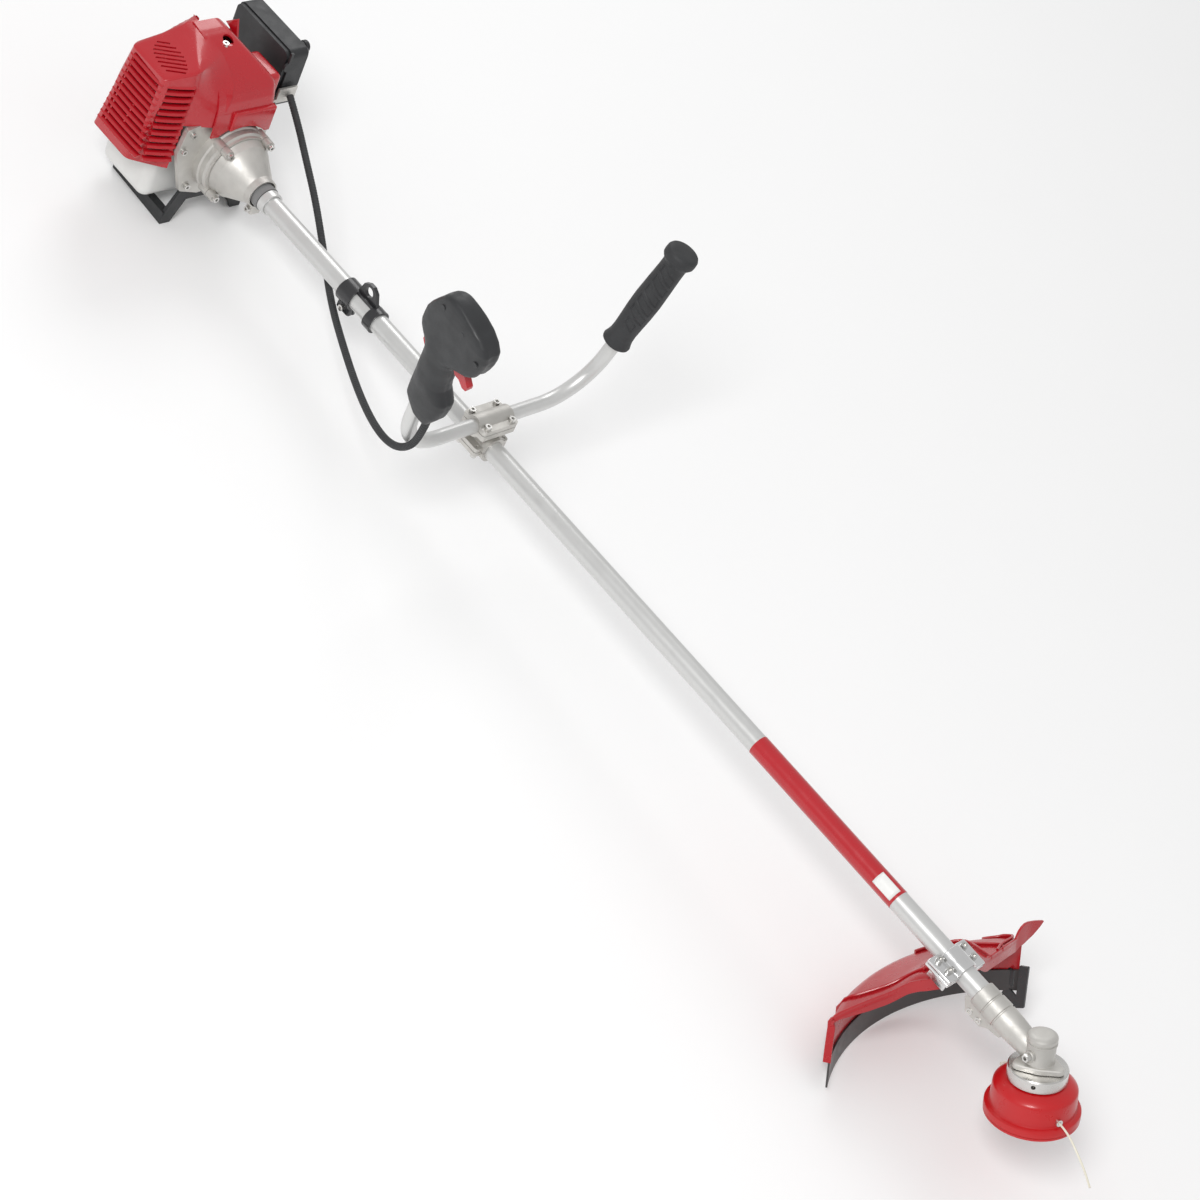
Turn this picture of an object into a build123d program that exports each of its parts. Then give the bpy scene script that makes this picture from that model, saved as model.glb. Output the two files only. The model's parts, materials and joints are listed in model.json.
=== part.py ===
"""Petrol brush cutter: engine, shaft, handlebar, guard and trimmer head. Millimetres, +Z up, +X to the head."""

import os
from math import cos, radians, sin, tan

from build123d import *

os.makedirs("parts", exist_ok=True)

# ---------------------------------------------------------------- driving dimensions
TUBE_R = 13.0  # main tube, outside
TUBE_BORE = 11.5
TUBE_HEAD_END = -62.0  # stations along the shaft are measured from the head's centre
TUBE_ENGINE_END = -1466.0
SHAFT_R = 4.0  # drive shaft
BAR_R = 9.5  # handlebar tube
BAR_BORE = 8.0
BAR_X = -997.0  # handlebar station
BAR_Z = 30.0  # handlebar height above the shaft's centre line
BAR_HALF = 150.8  # half the distance between the bar's two corners
BAR_BEND = 78.0
ARM = Vector(0.0943, 0.154, 0.9836).normalized()  # left arm's direction; the right one mirrors it
HEAD_TILT = 25.0  # the head's axis leans back from square to the shaft
GUARD_ROLL = 4.0
GUARD_R = 233.0
HARNESS_X = -1236.0
FIT = 0.05  # gap of a running or sliding fit
WALL = 2.5

# ---------------------------------------------------------------- the machine lies on its guard and stand
PITCH = 2.62
ORIGIN = (796.4, 0.1, 179.2)
SHAFT = Plane(
    origin=ORIGIN,
    x_dir=(cos(radians(PITCH)), 0, sin(radians(PITCH))),
    z_dir=(-sin(radians(PITCH)), 0, cos(radians(PITCH))),
)


def placed(plane, base=SHAFT):
    """A plane given in the shaft's own frame, set in the model's frame."""
    return Plane(base.location * plane.location)


def across(x, y=0.0, z=0.0):
    """Plane square to the shaft, facing the head; sketches run (y, z)."""
    return placed(Plane(origin=(x, y, z), x_dir=(0, 1, 0), z_dir=(1, 0, 0)))


def beside(y, x=0.0, z=0.0):
    """Upright plane along the shaft, facing right; sketches run (x, z)."""
    return placed(Plane(origin=(x, y, z), x_dir=(1, 0, 0), z_dir=(0, -1, 0)))


def level(z, x=0.0, y=0.0):
    """Plane seen from above; sketches run (x, y)."""
    return placed(Plane(origin=(x, y, z), x_dir=(1, 0, 0), z_dir=(0, 0, 1)))


def point(x, y, z):
    return SHAFT.from_local_coords(Vector(x, y, z))


HEAD = Plane(SHAFT.location * Location((0, 0, 0), (0, -HEAD_TILT, 0)))
GUARD = Plane(SHAFT.location * Location((0, 0, 0), (GUARD_ROLL, 0, 0)) * Location((0, 0, 0), (0, -HEAD_TILT, 0)))
SHAFT_AXIS = Axis(SHAFT.origin, SHAFT.x_dir)
HEAD_AXIS = Axis(HEAD.origin, HEAD.z_dir)
GUARD_AXIS = Axis(GUARD.origin, GUARD.z_dir)


def arm_frame(side):
    """Frame of one handlebar arm: z up the arm, x towards the head; side is 1 left, -1 right."""
    along = Vector(ARM.X, side * ARM.Y, ARM.Z)
    forward = (Vector(1, 0, 0) - along * along.X).normalized()
    return placed(Plane(origin=(BAR_X, side * BAR_HALF, BAR_Z), x_dir=forward, z_dir=along))


LEFT_ARM = arm_frame(1)
RIGHT_ARM = arm_frame(-1)


def side_of(plane, offset=0.0):
    """Plane holding a frame's x and z, facing its -y; sketches run (x, z)."""
    return placed(Plane(origin=(0, offset, 0), x_dir=(1, 0, 0), z_dir=(0, -1, 0)), plane)


# ---------------------------------------------------------------- shape helpers
def rod(plane, radius, length, inner=0.0, mode=Mode.ADD):
    """Round bar, or a tube, standing on a plane."""
    with BuildSketch(plane) as section:
        Circle(radius)
        if inner:
            Circle(inner, mode=Mode.SUBTRACT)
    extrude(section.sketch, amount=length, mode=mode)


def slab(plane, width, height, depth, corner=0.0, mode=Mode.ADD):
    """Rectangular block, centred on a plane's origin and standing on it."""
    with BuildSketch(plane) as section:
        if corner:
            RectangleRounded(width, height, corner)
        else:
            Rectangle(width, height)
    extrude(section.sketch, amount=depth, mode=mode)


def prism(plane, points, depth, corner=0.0, mode=Mode.ADD):
    """Extruded outline, its corners rounded where a radius is given."""
    with BuildSketch(plane) as section:
        with BuildLine():
            Polyline(*points, close=True)
        make_face()
        if corner:
            fillet(section.vertices(), corner)
    extrude(section.sketch, amount=depth, mode=mode)


def turned(plane, axis, points, mode=Mode.ADD):
    """Solid of revolution of an outline in a plane that holds the axis."""
    with BuildSketch(plane) as section:
        with BuildLine():
            Polyline(*points, close=True)
        make_face()
    revolve(section.sketch, axis=axis, mode=mode)


def block(x, y, z, corner=0.0, mode=Mode.ADD):
    """Block given by its ranges along the shaft's x, y and z."""
    plane = level(z[0], (x[0] + x[1]) / 2, (y[0] + y[1]) / 2)
    slab(plane, x[1] - x[0], y[1] - y[0], z[1] - z[0], corner, mode)


def panel(x, y, z, corner=0.0, mode=Mode.ADD):
    """Block given by the same ranges, with its corners rounded as seen from the side."""
    plane = beside(y[1], (x[0] + x[1]) / 2, (z[0] + z[1]) / 2)
    slab(plane, x[1] - x[0], z[1] - z[0], y[1] - y[0], corner, mode)


def screw(plane, length, head=4.2, shank=2.5):
    """Socket-head cap screw: its head stands on the plane, its shank goes below it."""
    rod(plane, head, 4.5)
    rod(Plane(plane.origin, x_dir=plane.x_dir, z_dir=-plane.z_dir), shank, length)
    with BuildSketch(plane.offset(4.5)) as socket:
        RegularPolygon(head * 0.55, 6)
    extrude(socket.sketch, amount=-2.5, mode=Mode.SUBTRACT)


def drill(planes, length, radius=2.55):
    """Clearance holes below a list of screw planes."""
    for plane in planes:
        rod(Plane(plane.origin, x_dir=plane.x_dir, z_dir=-plane.z_dir), radius, length, mode=Mode.SUBTRACT)


# ---------------------------------------------------------------- where the cap screws stand
BELL_SCREWS = [across(-1497.0, y, z) for y in (-33.0, 33.0) for z in (-35.0, 35.0)]
PLATE_SCREWS = [across(-1533.0, y, z) for y, z in ((-70.0, 48.0), (-77.0, 23.0), (-52.0, -40.0))]
BAR_SCREWS = [level(37.0, BAR_X + x, y) for x in (-15.5, 15.5) for y in (-20.0, 20.0)]
TUBE_CLAMP_SCREWS = [
    placed(Plane(origin=(BAR_X + x, y, -6.0), x_dir=(1, 0, 0), z_dir=(0, 0, -1)))
    for x in (-14.0, 14.0)
    for y in (-21.5, 21.5)
]
GUARD_SCREWS = [level(5.0, x, y) for x in (-148.0, -132.0) for y in (-21.5, 21.5)]
GUARD_PLATE_SCREWS = [placed(Plane(origin=(x, y, 30.0)), GUARD) for x in (-162.0, -134.0) for y in (-35.0, 35.0)]
CASE_SCREWS = [beside(-6.0, x, -24.0) for x in (-90.0, -76.0)]
HARNESS_SCREW = [beside(-7.0, HARNESS_X - 26.0, -20.5)]
NECK_SCREW = [beside(-8.0, -1460.0, -27.0)]
COVER_SCREW = [level(145.0, -1577.0, -20.0)]

# ---------------------------------------------------------------- shaft
with BuildPart() as main_tube:
    rod(across(TUBE_ENGINE_END), TUBE_R, TUBE_HEAD_END - TUBE_ENGINE_END, TUBE_BORE)

with BuildPart() as drive_shaft:
    rod(across(-1494.0), SHAFT_R, 1450.0)

with BuildPart() as shaft_bushes:
    for station in (-130.0, -400.0, -670.0, -940.0, -1210.0, -1440.0):
        rod(across(station), TUBE_BORE - FIT, 22.0, SHAFT_R + FIT)

with BuildPart() as tube_collar:
    rod(across(-1443.0), 16.2, 11.0, TUBE_R + FIT)
    chamfer(tube_collar.edges().filter_by(GeomType.CIRCLE), 0.6)

with BuildPart() as vibration_damper:
    rod(across(TUBE_ENGINE_END), 17.3, 22.5, TUBE_R + FIT)

# ---------------------------------------------------------------- clutch
with BuildPart() as clutch_housing:
    turned(
        beside(0),
        SHAFT_AXIS,
        [
            (-1453.0, 19.5), (-1453.0, 21.5), (-1463.0, 22.5), (-1494.0, 39.0), (-1497.0, 41.0), (-1508.0, 44.0),
            (-1508.0, 38.0), (-1498.0, 36.0), (-1484.0, 27.0), (-1484.0, 15.0), (-1468.5, 15.0), (-1468.5, 17.4),
            (-1463.0, 17.4), (-1463.0, 19.5),
        ],
    )
    for y, z in ((-33.0, -35.0), (-33.0, 35.0), (33.0, -35.0), (33.0, 35.0)):
        rod(across(-1508.0, y, z), 6.5, 11.0)
    block((-1466.0, -1454.0), (-8.0, 8.0), (-33.0, -20.0), 2.0)
    rod(across(-1508.0), 38.0, 10.0, mode=Mode.SUBTRACT)
    rod(across(-1470.0), 17.4, 18.0, mode=Mode.SUBTRACT)
    drill(BELL_SCREWS, 12.0)
    drill(NECK_SCREW, 14.0)

with BuildPart() as clutch_drum:
    turned(
        beside(0),
        SHAFT_AXIS,
        [
            (-1470.0, SHAFT_R + FIT), (-1470.0, 8.0), (-1493.0, 8.0), (-1493.0, 31.0), (-1496.0, 34.0),
            (-1515.0, 34.0), (-1515.0, 31.0), (-1497.0, 31.0), (-1497.0, SHAFT_R + FIT),
        ],
    )

with BuildPart() as clutch_shoes:
    rod(across(-1514.0), 30.4, 13.5, 22.0)
    rod(across(-1514.0), 10.0, 13.5, 6.05)
    for turn in (45.0, 225.0):
        arm = placed(Plane.XY.rotated((0, 0, turn)), across(-1514.0))
        slab(placed(Plane(origin=(16.0, 0, 0)), arm), 13.5, 11.0, 13.5)
    for turn in (135.0, 315.0):
        gap = placed(Plane.XY.rotated((0, 0, turn)), across(-1514.0))
        slab(placed(Plane(origin=(26.0, 0, 0)), gap), 12.0, 5.0, 13.5, mode=Mode.SUBTRACT)

# ---------------------------------------------------------------- fan housing, flywheel and crankcase
with BuildPart() as fan_housing:
    prism(
        across(-1540.0),
        [(-62, 60), (-80, 56), (-85, 18), (-60, -48), (-28, -58), (36, -52), (56, -20), (58, 42), (34, 56), (-34, 56)],
        6.5,
        5.0,
    )
    turned(
        beside(0),
        SHAFT_AXIS,
        [
            (-1540.0, 14.0), (-1540.0, 52.0), (-1524.0, 52.0), (-1522.0, 50.0), (-1514.0, 50.0), (-1512.0, 47.0),
            (-1508.3, 47.0), (-1508.3, 38.5), (-1515.5, 38.5), (-1515.5, 47.0), (-1536.5, 47.0), (-1536.5, 14.0),
        ],
    )
    for y, z in ((-33.0, -35.0), (-33.0, 35.0), (33.0, -35.0), (33.0, 35.0)):
        rod(across(-1524.0, y, z), 7.0, 15.7)
    rod(across(-1536.5), 46.5, 21.0, mode=Mode.SUBTRACT)
    rod(across(-1541.0), 14.0, 10.0, mode=Mode.SUBTRACT)
    for plane in PLATE_SCREWS:
        rod(plane.offset(-7.0), 6.0, 6.9)
    drill(PLATE_SCREWS, 10.0)
    drill(BELL_SCREWS, 23.0)

with BuildPart() as flywheel:
    rod(across(-1533.0), 45.0, 5.0, 6.05)
    rod(across(-1533.0), 12.0, 16.0, 6.05)
    for index in range(12):
        fin = placed(Plane.XY.rotated((0, 0, 30.0 * index)), across(-1528.0))
        slab(placed(Plane(origin=(31.0, 0, 0)), fin), 24.0, 2.5, 9.0)

with BuildPart() as crankshaft:
    rod(across(-1640.0), 6.0, 137.0)
    rod(across(-1610.0), 8.0, 74.0)
    rod(across(-1592.0), 24.0, 10.0)
    rod(across(-1568.0), 24.0, 10.0)
    rod(across(-1582.0), 9.0, 14.0, mode=Mode.SUBTRACT)
    rod(across(-1582.0, 0, 13.0), 5.0, 14.0)

with BuildPart() as crankcase:
    block((-1610.0, -1540.4), (-33.0, 33.0), (-37.0, 42.0), 6.0)
    rod(across(-1610.0), 15.05, 70.0, mode=Mode.SUBTRACT)
    rod(across(-1594.0), 26.0, 38.0, mode=Mode.SUBTRACT)
    rod(level(10.0, -1575.0), 20.2, 40.0, mode=Mode.SUBTRACT)

# ---------------------------------------------------------------- cylinder, piston, plug
with BuildPart() as cylinder:
    rod(level(42.4, -1575.0), 25.0, 72.0)
    for index in range(9):
        slab(level(48.0 + 8.0 * index, -1577.0, -6.0), 66.0, 62.0, 2.4, 12.0)
    block((-1592.0, -1558.0), (-46.0, -20.0), (62.0, 92.0), 3.0)
    block((-1592.0, -1558.0), (20.0, 42.0), (54.0, 84.0), 3.0)
    rod(level(41.0, -1575.0), 20.0, 61.0, mode=Mode.SUBTRACT)
    rod(level(100.0, -1575.0), 5.1, 20.0, mode=Mode.SUBTRACT)
    rod(beside(43.0, -1575.0, 69.0), 9.0, 26.0, mode=Mode.SUBTRACT)
    rod(beside(-20.0, -1575.0, 77.0), 9.0, 27.0, mode=Mode.SUBTRACT)

with BuildPart() as piston:
    rod(level(62.0, -1575.0), 19.9, 32.0, 16.0)
    rod(level(88.0, -1575.0), 19.9, 6.0)
    rod(across(-1590.0, 0, 74.0), 5.0, 30.0)

with BuildPart() as connecting_rod:
    rod(across(-1578.5, 0, 74.0), 9.0, 7.0)
    block((-1578.5, -1571.5), (-5.0, 5.0), (20.5, 70.0))
    rod(across(-1579.0, 0, 74.0), 5.05, 8.0, mode=Mode.SUBTRACT)

with BuildPart() as spark_plug:
    rod(level(102.5, -1575.0), 5.0, 12.0)
    with BuildSketch(level(114.5, -1575.0)) as hexagon:
        RegularPolygon(9.0, 6)
    extrude(hexagon.sketch, amount=5.0)
    rod(level(119.5, -1575.0), 4.5, 16.0)

with BuildPart() as plug_cap:
    rod(level(121.0, -1575.0), 8.0, 18.0)
    rod(across(-1600.0, 0, 133.0), 4.5, 25.0)
    rod(level(120.5, -1575.0), 4.6, 15.2, mode=Mode.SUBTRACT)

# ---------------------------------------------------------------- muffler and covers
with BuildPart() as muffler:
    block((-1634.0, -1568.0), (-110.0, -56.0), (18.0, 112.0), 8.0)
    block((-1594.0, -1570.0), (-56.5, -46.4), (62.0, 92.0), 3.0)
    rod(beside(-108.0, -1622.0, 34.0), 8.0, 9.0)
    block((-1632.0, -1570.0), (-108.0, -58.0), (20.0, 110.0), 6.0, mode=Mode.SUBTRACT)
    rod(beside(-105.0, -1622.0, 34.0), 5.5, 14.0, mode=Mode.SUBTRACT)
    rod(beside(-44.0, -1575.0, 77.0), 8.5, 20.0, mode=Mode.SUBTRACT)


def cover_outline(inset):
    """Side profile of the engine cover: flat roof, round shoulder, upright front."""
    return [(-1640 + inset, 48), (-1640 + inset, 150 - inset), (-1632 + inset, 158 - inset), (-1592, 158 - inset)]


with BuildPart() as cover_core:
    with BuildSketch(beside(-44.0 + WALL)) as core_side:
        with BuildLine():
            roof = Polyline(*cover_outline(WALL))
            shoulder = Spline(
                roof @ 1, (-1562, 150 - WALL), (-1537, 132 - WALL), (-1521.5 - WALL, 100), tangents=((1, 0), (0, -1))
            )
            Polyline(shoulder @ 1, (-1528.0 - WALL, 30.0), (-1640 + WALL, 30.0), (-1640 + WALL, 48))
        make_face()
    extrude(core_side.sketch, amount=-(30.0 + 44.0 - 2 * WALL), taper=0)
    block((-1600 + WALL, -1541 - WALL), (20.0, 60.0 - WALL), (30.0, 112 - WALL), 4.0)
    block((-1625.0, -1545.0), (-50.0, -38.0), (30.0, 130.0))

with BuildPart() as engine_cover:
    with BuildSketch(beside(-44.0)) as cover_side:
        with BuildLine():
            roof = Polyline(*cover_outline(0))
            shoulder = Spline(roof @ 1, (-1562, 150), (-1537, 132), (-1521.5, 100), tangents=((1, 0), (0, -1)))
            Polyline(shoulder @ 1, (-1527.0, 61.0), (-1640, 48.0))
        make_face()
    extrude(cover_side.sketch, amount=-(30.0 + 44.0))
    roof_edges = engine_cover.edges().filter_by(lambda e: (SHAFT.to_local_coords(e.center()).Y > 29.0))
    fillet(roof_edges.filter_by(lambda e: SHAFT.to_local_coords(e.center()).Z > 70.0), 9.0)
    block((-1600, -1541), (20.0, 60.0), (44.0, 112.0), 5.0)
    prism(beside(19.0), [(-1622.0, 150.0), (-1600.0, 150.0), (-1606.0, 168.0)], 3.0)
    add(cover_core.part, mode=Mode.SUBTRACT)
    rod(COVER_SCREW[0].offset(-6.0), 9.0, 15.0)
    rod(COVER_SCREW[0], 6.5, 20.0, mode=Mode.SUBTRACT)
    drill(COVER_SCREW, 12.0)
    rod(across(-1545.0), 53.0, 40.0, mode=Mode.SUBTRACT)
    rod(across(-1700.0), 54.5, 100.0, mode=Mode.SUBTRACT)
    block((-1598.5, -1561.5), (56.0, 61.0), (40.0, 91.0), mode=Mode.SUBTRACT)


def guard_plan(inset):
    """Plan of the muffler guard: its front slants back to the outer corner."""
    return [
        (-1645.0 + inset, -44.4),
        (-1650.0 + inset, -122.0 + inset),
        (-1640.0 + inset, -126.0 + inset),
        (-1558.0 - inset * 0.7, -126.0 + inset),
        (-1530.0 - inset, -44.4),
    ]


ROOF_LINE = [(-160.0, 112.0), (-118.0, 129.0), (-44.4, 158.0), (0.0, 158.0), (0.0, 300.0), (-160.0, 300.0)]
SLOT_PITCH = 11.4
SLOTS = 11

with BuildPart() as guard_core:
    prism(level(-20.0), guard_plan(WALL), 180.0, 3.0)
    prism(across(-1700.0), [(y, z - WALL) for y, z in ROOF_LINE], 300.0, mode=Mode.SUBTRACT)
    block((-1642.5, -1533.0), (-60.0, -40.0), (-20.0, 150.0))

with BuildPart() as muffler_guard:
    prism(level(-10.0), guard_plan(0.0), 175.0, 4.0)
    prism(across(-1700.0), ROOF_LINE, 300.0, mode=Mode.SUBTRACT)
    add(guard_core.part, mode=Mode.SUBTRACT)
    for index in range(SLOTS):
        height = 4.0 + SLOT_PITCH * index
        block((-1617.0, -1566.0), (-130.0, -110.0), (height, height + 5.5), mode=Mode.SUBTRACT)
        block((-1644.0, -1622.0), (-130.0, -110.0), (height, height + 5.5), mode=Mode.SUBTRACT)
        block((-1562.0, -1520.0), (-117.0, -74.0), (height, height + 5.5), mode=Mode.SUBTRACT)
    for index in range(8):
        x = -1628.0 + 8.6 * index
        block((x, x + 3.6), (-106.0, -72.0), (118.0, 160.0), mode=Mode.SUBTRACT)
    drill([plane.offset(4.0) for plane in PLATE_SCREWS[:2]], 20.0)
    block((-1541.0, -1500.0), (-90.0, -40.0), (-60.0, 62.0), mode=Mode.SUBTRACT)
    rod(across(-1700.0), 54.5, 110.0, mode=Mode.SUBTRACT)

# ---------------------------------------------------------------- carburettor and air filter
with BuildPart() as carburettor:
    block((-1596.5, -1562.0), (42.4, 76.0), (50.0, 90.0), 4.0)
    rod(beside(42.2, -1580.0, 69.0), 8.0, -34.0, mode=Mode.SUBTRACT)
    block((-1563.0, -1550.0), (62.0, 75.9), (56.0, 60.0))
    block((-1553.0, -1550.0), (74.0, 104.0), (54.0, 76.0))
    rod(level(44.0, -1580.0, 60.0), 11.0, 6.5)
    rod(across(-1562.5, 66.0, 82.0), 3.0, 6.0)

with BuildPart() as throttle_lever:
    rod(across(-1561.6, 66.0, 82.0), 5.5, 3.0)
    prism(across(-1561.6), [(63.0, 86.0), (66.0, 78.0), (75.5, 88.0), (74.5, 94.0)], 3.0, 1.5)
    rod(across(-1563.0, 66.0, 82.0), 3.05, 6.0, mode=Mode.SUBTRACT)

with BuildPart() as primer_bulb:
    turned(
        across(-1580.0, 60.0, 43.7),
        Axis(point(-1580.0, 60.0, 43.7), SHAFT.z_dir),
        [(0, 0), (8.0, 0), (8.0, -3.0), (5.5, -7.0), (0, -8.0)],
    )

with BuildPart() as air_filter_base:
    panel((-1668.0, -1560.0), (76.4, 82.0), (40.0, 126.0), 8.0)
    rod(beside(60.0, -1580.0, 69.0), 12.0, -30.0, mode=Mode.SUBTRACT)

with BuildPart() as filter_element:
    panel((-1654.0, -1588.0), (82.4, 98.0), (50.0, 112.0), 4.0)


def filter_shell(inset, front):
    """Outer solid of the air filter cover, its top and front edges cut slantwise."""
    panel((-1670.0 + inset, -1557.0 - inset), (82.4, front), (38.0 + inset, 128.0 - inset), 10.0 - inset)


with BuildPart() as filter_room:
    filter_shell(WALL, 115.5)
    chamfer(filter_room.faces().sort_by(Axis(SHAFT.origin, SHAFT.y_dir))[-1].edges(), 7.0)

with BuildPart() as air_filter_cover:
    filter_shell(0.0, 118.0)
    outer_edges = air_filter_cover.faces().sort_by(Axis(SHAFT.origin, SHAFT.y_dir))[-1].edges()
    chamfer(outer_edges, 8.0)
    add(filter_room.part, mode=Mode.SUBTRACT)
    rod(beside(84.0, -1578.0, 116.0), 7.0, -34.0)
    rod(beside(80.0, -1578.0, 116.0), 3.1, -45.0, mode=Mode.SUBTRACT)

with BuildPart() as filter_knob:
    rod(beside(118.4, -1578.0, 116.0), 8.0, -7.0)
    rod(beside(86.0, -1578.0, 116.0), 3.0, -33.0)
    chamfer(filter_knob.faces().sort_by(Axis(SHAFT.origin, SHAFT.y_dir))[-1].edges(), 1.5)
    slab(beside(124.0, -1578.0, 116.0), 12.0, 2.0, -3.0, mode=Mode.SUBTRACT)

with BuildPart() as choke_lever:
    rod(across(-1556.7, 79.0, 108.0), 7.0, 3.0)
    block((-1556.7, -1553.7), (77.0, 81.0), (108.0, 130.0))

# ---------------------------------------------------------------- tank and stand
TANK_X = (-1655.0, -1562.0)
TANK_Y = (-92.0, 58.0)
TANK_Z = (-80.0, -12.0)

with BuildPart() as tank_room:
    block((TANK_X[0] + 3, TANK_X[1] - 3), (TANK_Y[0] + 3, TANK_Y[1] - 3), (TANK_Z[0] + 3, TANK_Z[1] - 3), 12.0)
    fillet(tank_room.faces().sort_by(Axis(SHAFT.origin, SHAFT.z_dir))[0].edges(), 10.0)
    rod(across(-1700.0), 61.0, 200.0, mode=Mode.SUBTRACT)

with BuildPart() as fuel_tank:
    block(TANK_X, TANK_Y, TANK_Z, 14.0)
    low_edges = fuel_tank.faces().sort_by(Axis(SHAFT.origin, SHAFT.z_dir))[0].edges()
    fillet(low_edges, 13.0)
    rod(across(-1700.0), 58.0, 200.0, mode=Mode.SUBTRACT)
    rod(beside(56.0, -1608.0, -52.0), 15.0, -9.0)
    add(tank_room.part, mode=Mode.SUBTRACT)
    rod(beside(50.0, -1608.0, -52.0), 12.0, -20.0, mode=Mode.SUBTRACT)

with BuildPart() as fuel_cap:
    rod(beside(65.4, -1608.0, -52.0), 18.0, -11.0)
    rod(beside(55.0, -1608.0, -52.0), 11.9, -11.0)
    for index in range(12):
        rib = placed(Plane.XY.rotated((0, 0, 30.0 * index)), beside(65.4, -1608.0, -52.0))
        rod(placed(Plane(origin=(19.0, 0, 0)), rib), 2.4, -11.0, mode=Mode.SUBTRACT)

with BuildPart() as tank_stand:
    prism(across(-1546.0), [(-40, -39), (40, -39), (66, -96), (66, -118), (54, -118), (34, -74),
                            (-34, -74), (-54, -118), (-66, -118), (-66, -96)], 5.0)
    for side in (-1, 1):
        block((-1642.0, -1541.0), (min(side * 54, side * 66), max(side * 54, side * 66)), (-118.0, -97.0))
        block((-1642.0, -1541.5), (min(side * 54, side * 66), max(side * 54, side * 66)), (-97.5, -90.0))
    block((-1650.0, -1638.0), (-66.0, 66.0), (-118.0, -92.0))
    with BuildSketch(Plane.XY) as floor_area:
        with Locations((-700.0, 0)):
            Rectangle(600.0, 600.0)
    extrude(floor_area.sketch, amount=-200.0, mode=Mode.SUBTRACT)

# ---------------------------------------------------------------- recoil starter
with BuildPart() as starter_housing:
    turned(
        beside(0),
        SHAFT_AXIS,
        [
            (-1612.0, 50.0), (-1612.0, 54.0), (-1640.0, 54.0), (-1650.0, 46.0), (-1654.0, 20.0), (-1654.0, 0.0),
            (-1651.0, 0.0), (-1651.0, 19.0), (-1647.0, 44.0), (-1638.5, 50.0),
        ],
    )
    rod(across(-1652.0), 4.0, 9.0)
    for index in range(8):
        vent = placed(Plane.XY.rotated((0, 0, 45.0 * index + 22.5)), across(-1660.0))
        slab(placed(Plane(origin=(32.0, 0, 0)), vent), 20.0, 5.0, 25.0, mode=Mode.SUBTRACT)
    rod(beside(40.0, -1629.0, 26.0), 2.4, -20.0, mode=Mode.SUBTRACT)

with BuildPart() as starter_pulley:
    turned(
        beside(0),
        SHAFT_AXIS,
        [
            (-1622.0, 6.05 + 0.3), (-1622.0, 28.0), (-1625.0, 28.0), (-1626.0, 23.8), (-1632.0, 23.8),
            (-1633.0, 28.0), (-1636.0, 28.0), (-1636.0, 8.0), (-1642.5, 8.0), (-1642.5, 6.05 + 0.3),
        ],
    )

with BuildPart() as starter_handle:
    rod(beside(-4.0, -1629.0, 26.0), 1.8, -64.0)
    slab(beside(55.0, -1629.0, 26.0), 34.0, 13.0, -13.0, 5.0)
    chamfer(starter_handle.faces().sort_by(Axis(SHAFT.origin, SHAFT.y_dir))[-1].edges(), 2.5)

# ---------------------------------------------------------------- bearings of the whole machine
with BuildPart() as ball_bearings:
    rod(across(-1482.0), 14.95, 11.0, 8.0 + FIT)
    rod(across(-1608.0), 15.0, 12.0, 8.0 + FIT)
    rod(across(-1554.0), 15.0, 12.0, 8.0 + FIT)
    rod(across(-35.0), 12.95, 9.0, 5.0 + FIT)
    rod(HEAD.offset(-8.5), 13.9, 6.0, 5.0 + FIT)
    rod(HEAD.offset(20.8), 13.9, 6.0, 5.0 + FIT)

# ---------------------------------------------------------------- harness clamp
with BuildPart() as harness_clamp:
    rod(across(HARNESS_X - 38.0), 16.4, 24.0)
    rod(across(HARNESS_X + 16.0), 16.4, 13.0)
    block((HARNESS_X - 38.0, HARNESS_X - 14.0), (-7.0, 7.0), (-26.0, -12.0), 3.0)
    block((HARNESS_X - 15.0, HARNESS_X + 17.0), (-6.0, 6.0), (12.0, 16.4))
    prism(
        beside(2.5),
        [
            (HARNESS_X - 18.0, 14.0), (HARNESS_X + 20.0, 14.0), (HARNESS_X + 12.0, 32.0),
            (HARNESS_X + 4.0, 37.0), (HARNESS_X - 4.0, 37.0), (HARNESS_X - 12.0, 32.0),
        ],
        5.0,
        2.0,
    )
    rod(across(HARNESS_X - 60.0), TUBE_R + FIT, 120.0, mode=Mode.SUBTRACT)
    block((HARNESS_X - 39.0, HARNESS_X - 13.0), (-0.8, 0.8), (-30.0, -11.0), mode=Mode.SUBTRACT)
    rod(beside(4.0, HARNESS_X, 26.0), 7.0, 8.0, mode=Mode.SUBTRACT)
    drill(HARNESS_SCREW, 16.0)

# ---------------------------------------------------------------- handlebar and its clamp
with BuildPart() as handlebar:
    with BuildLine() as bar_line:
        FilletPolyline(
            LEFT_ARM.from_local_coords(Vector(0, 0, 240.0)),
            LEFT_ARM.origin,
            RIGHT_ARM.origin,
            RIGHT_ARM.from_local_coords(Vector(0, 0, 172.0)),
            radius=BAR_BEND,
        )
    with BuildSketch(Plane(origin=bar_line.line @ 0, z_dir=bar_line.line % 0)):
        Circle(BAR_R)
        Circle(BAR_BORE, mode=Mode.SUBTRACT)
    sweep()

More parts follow.
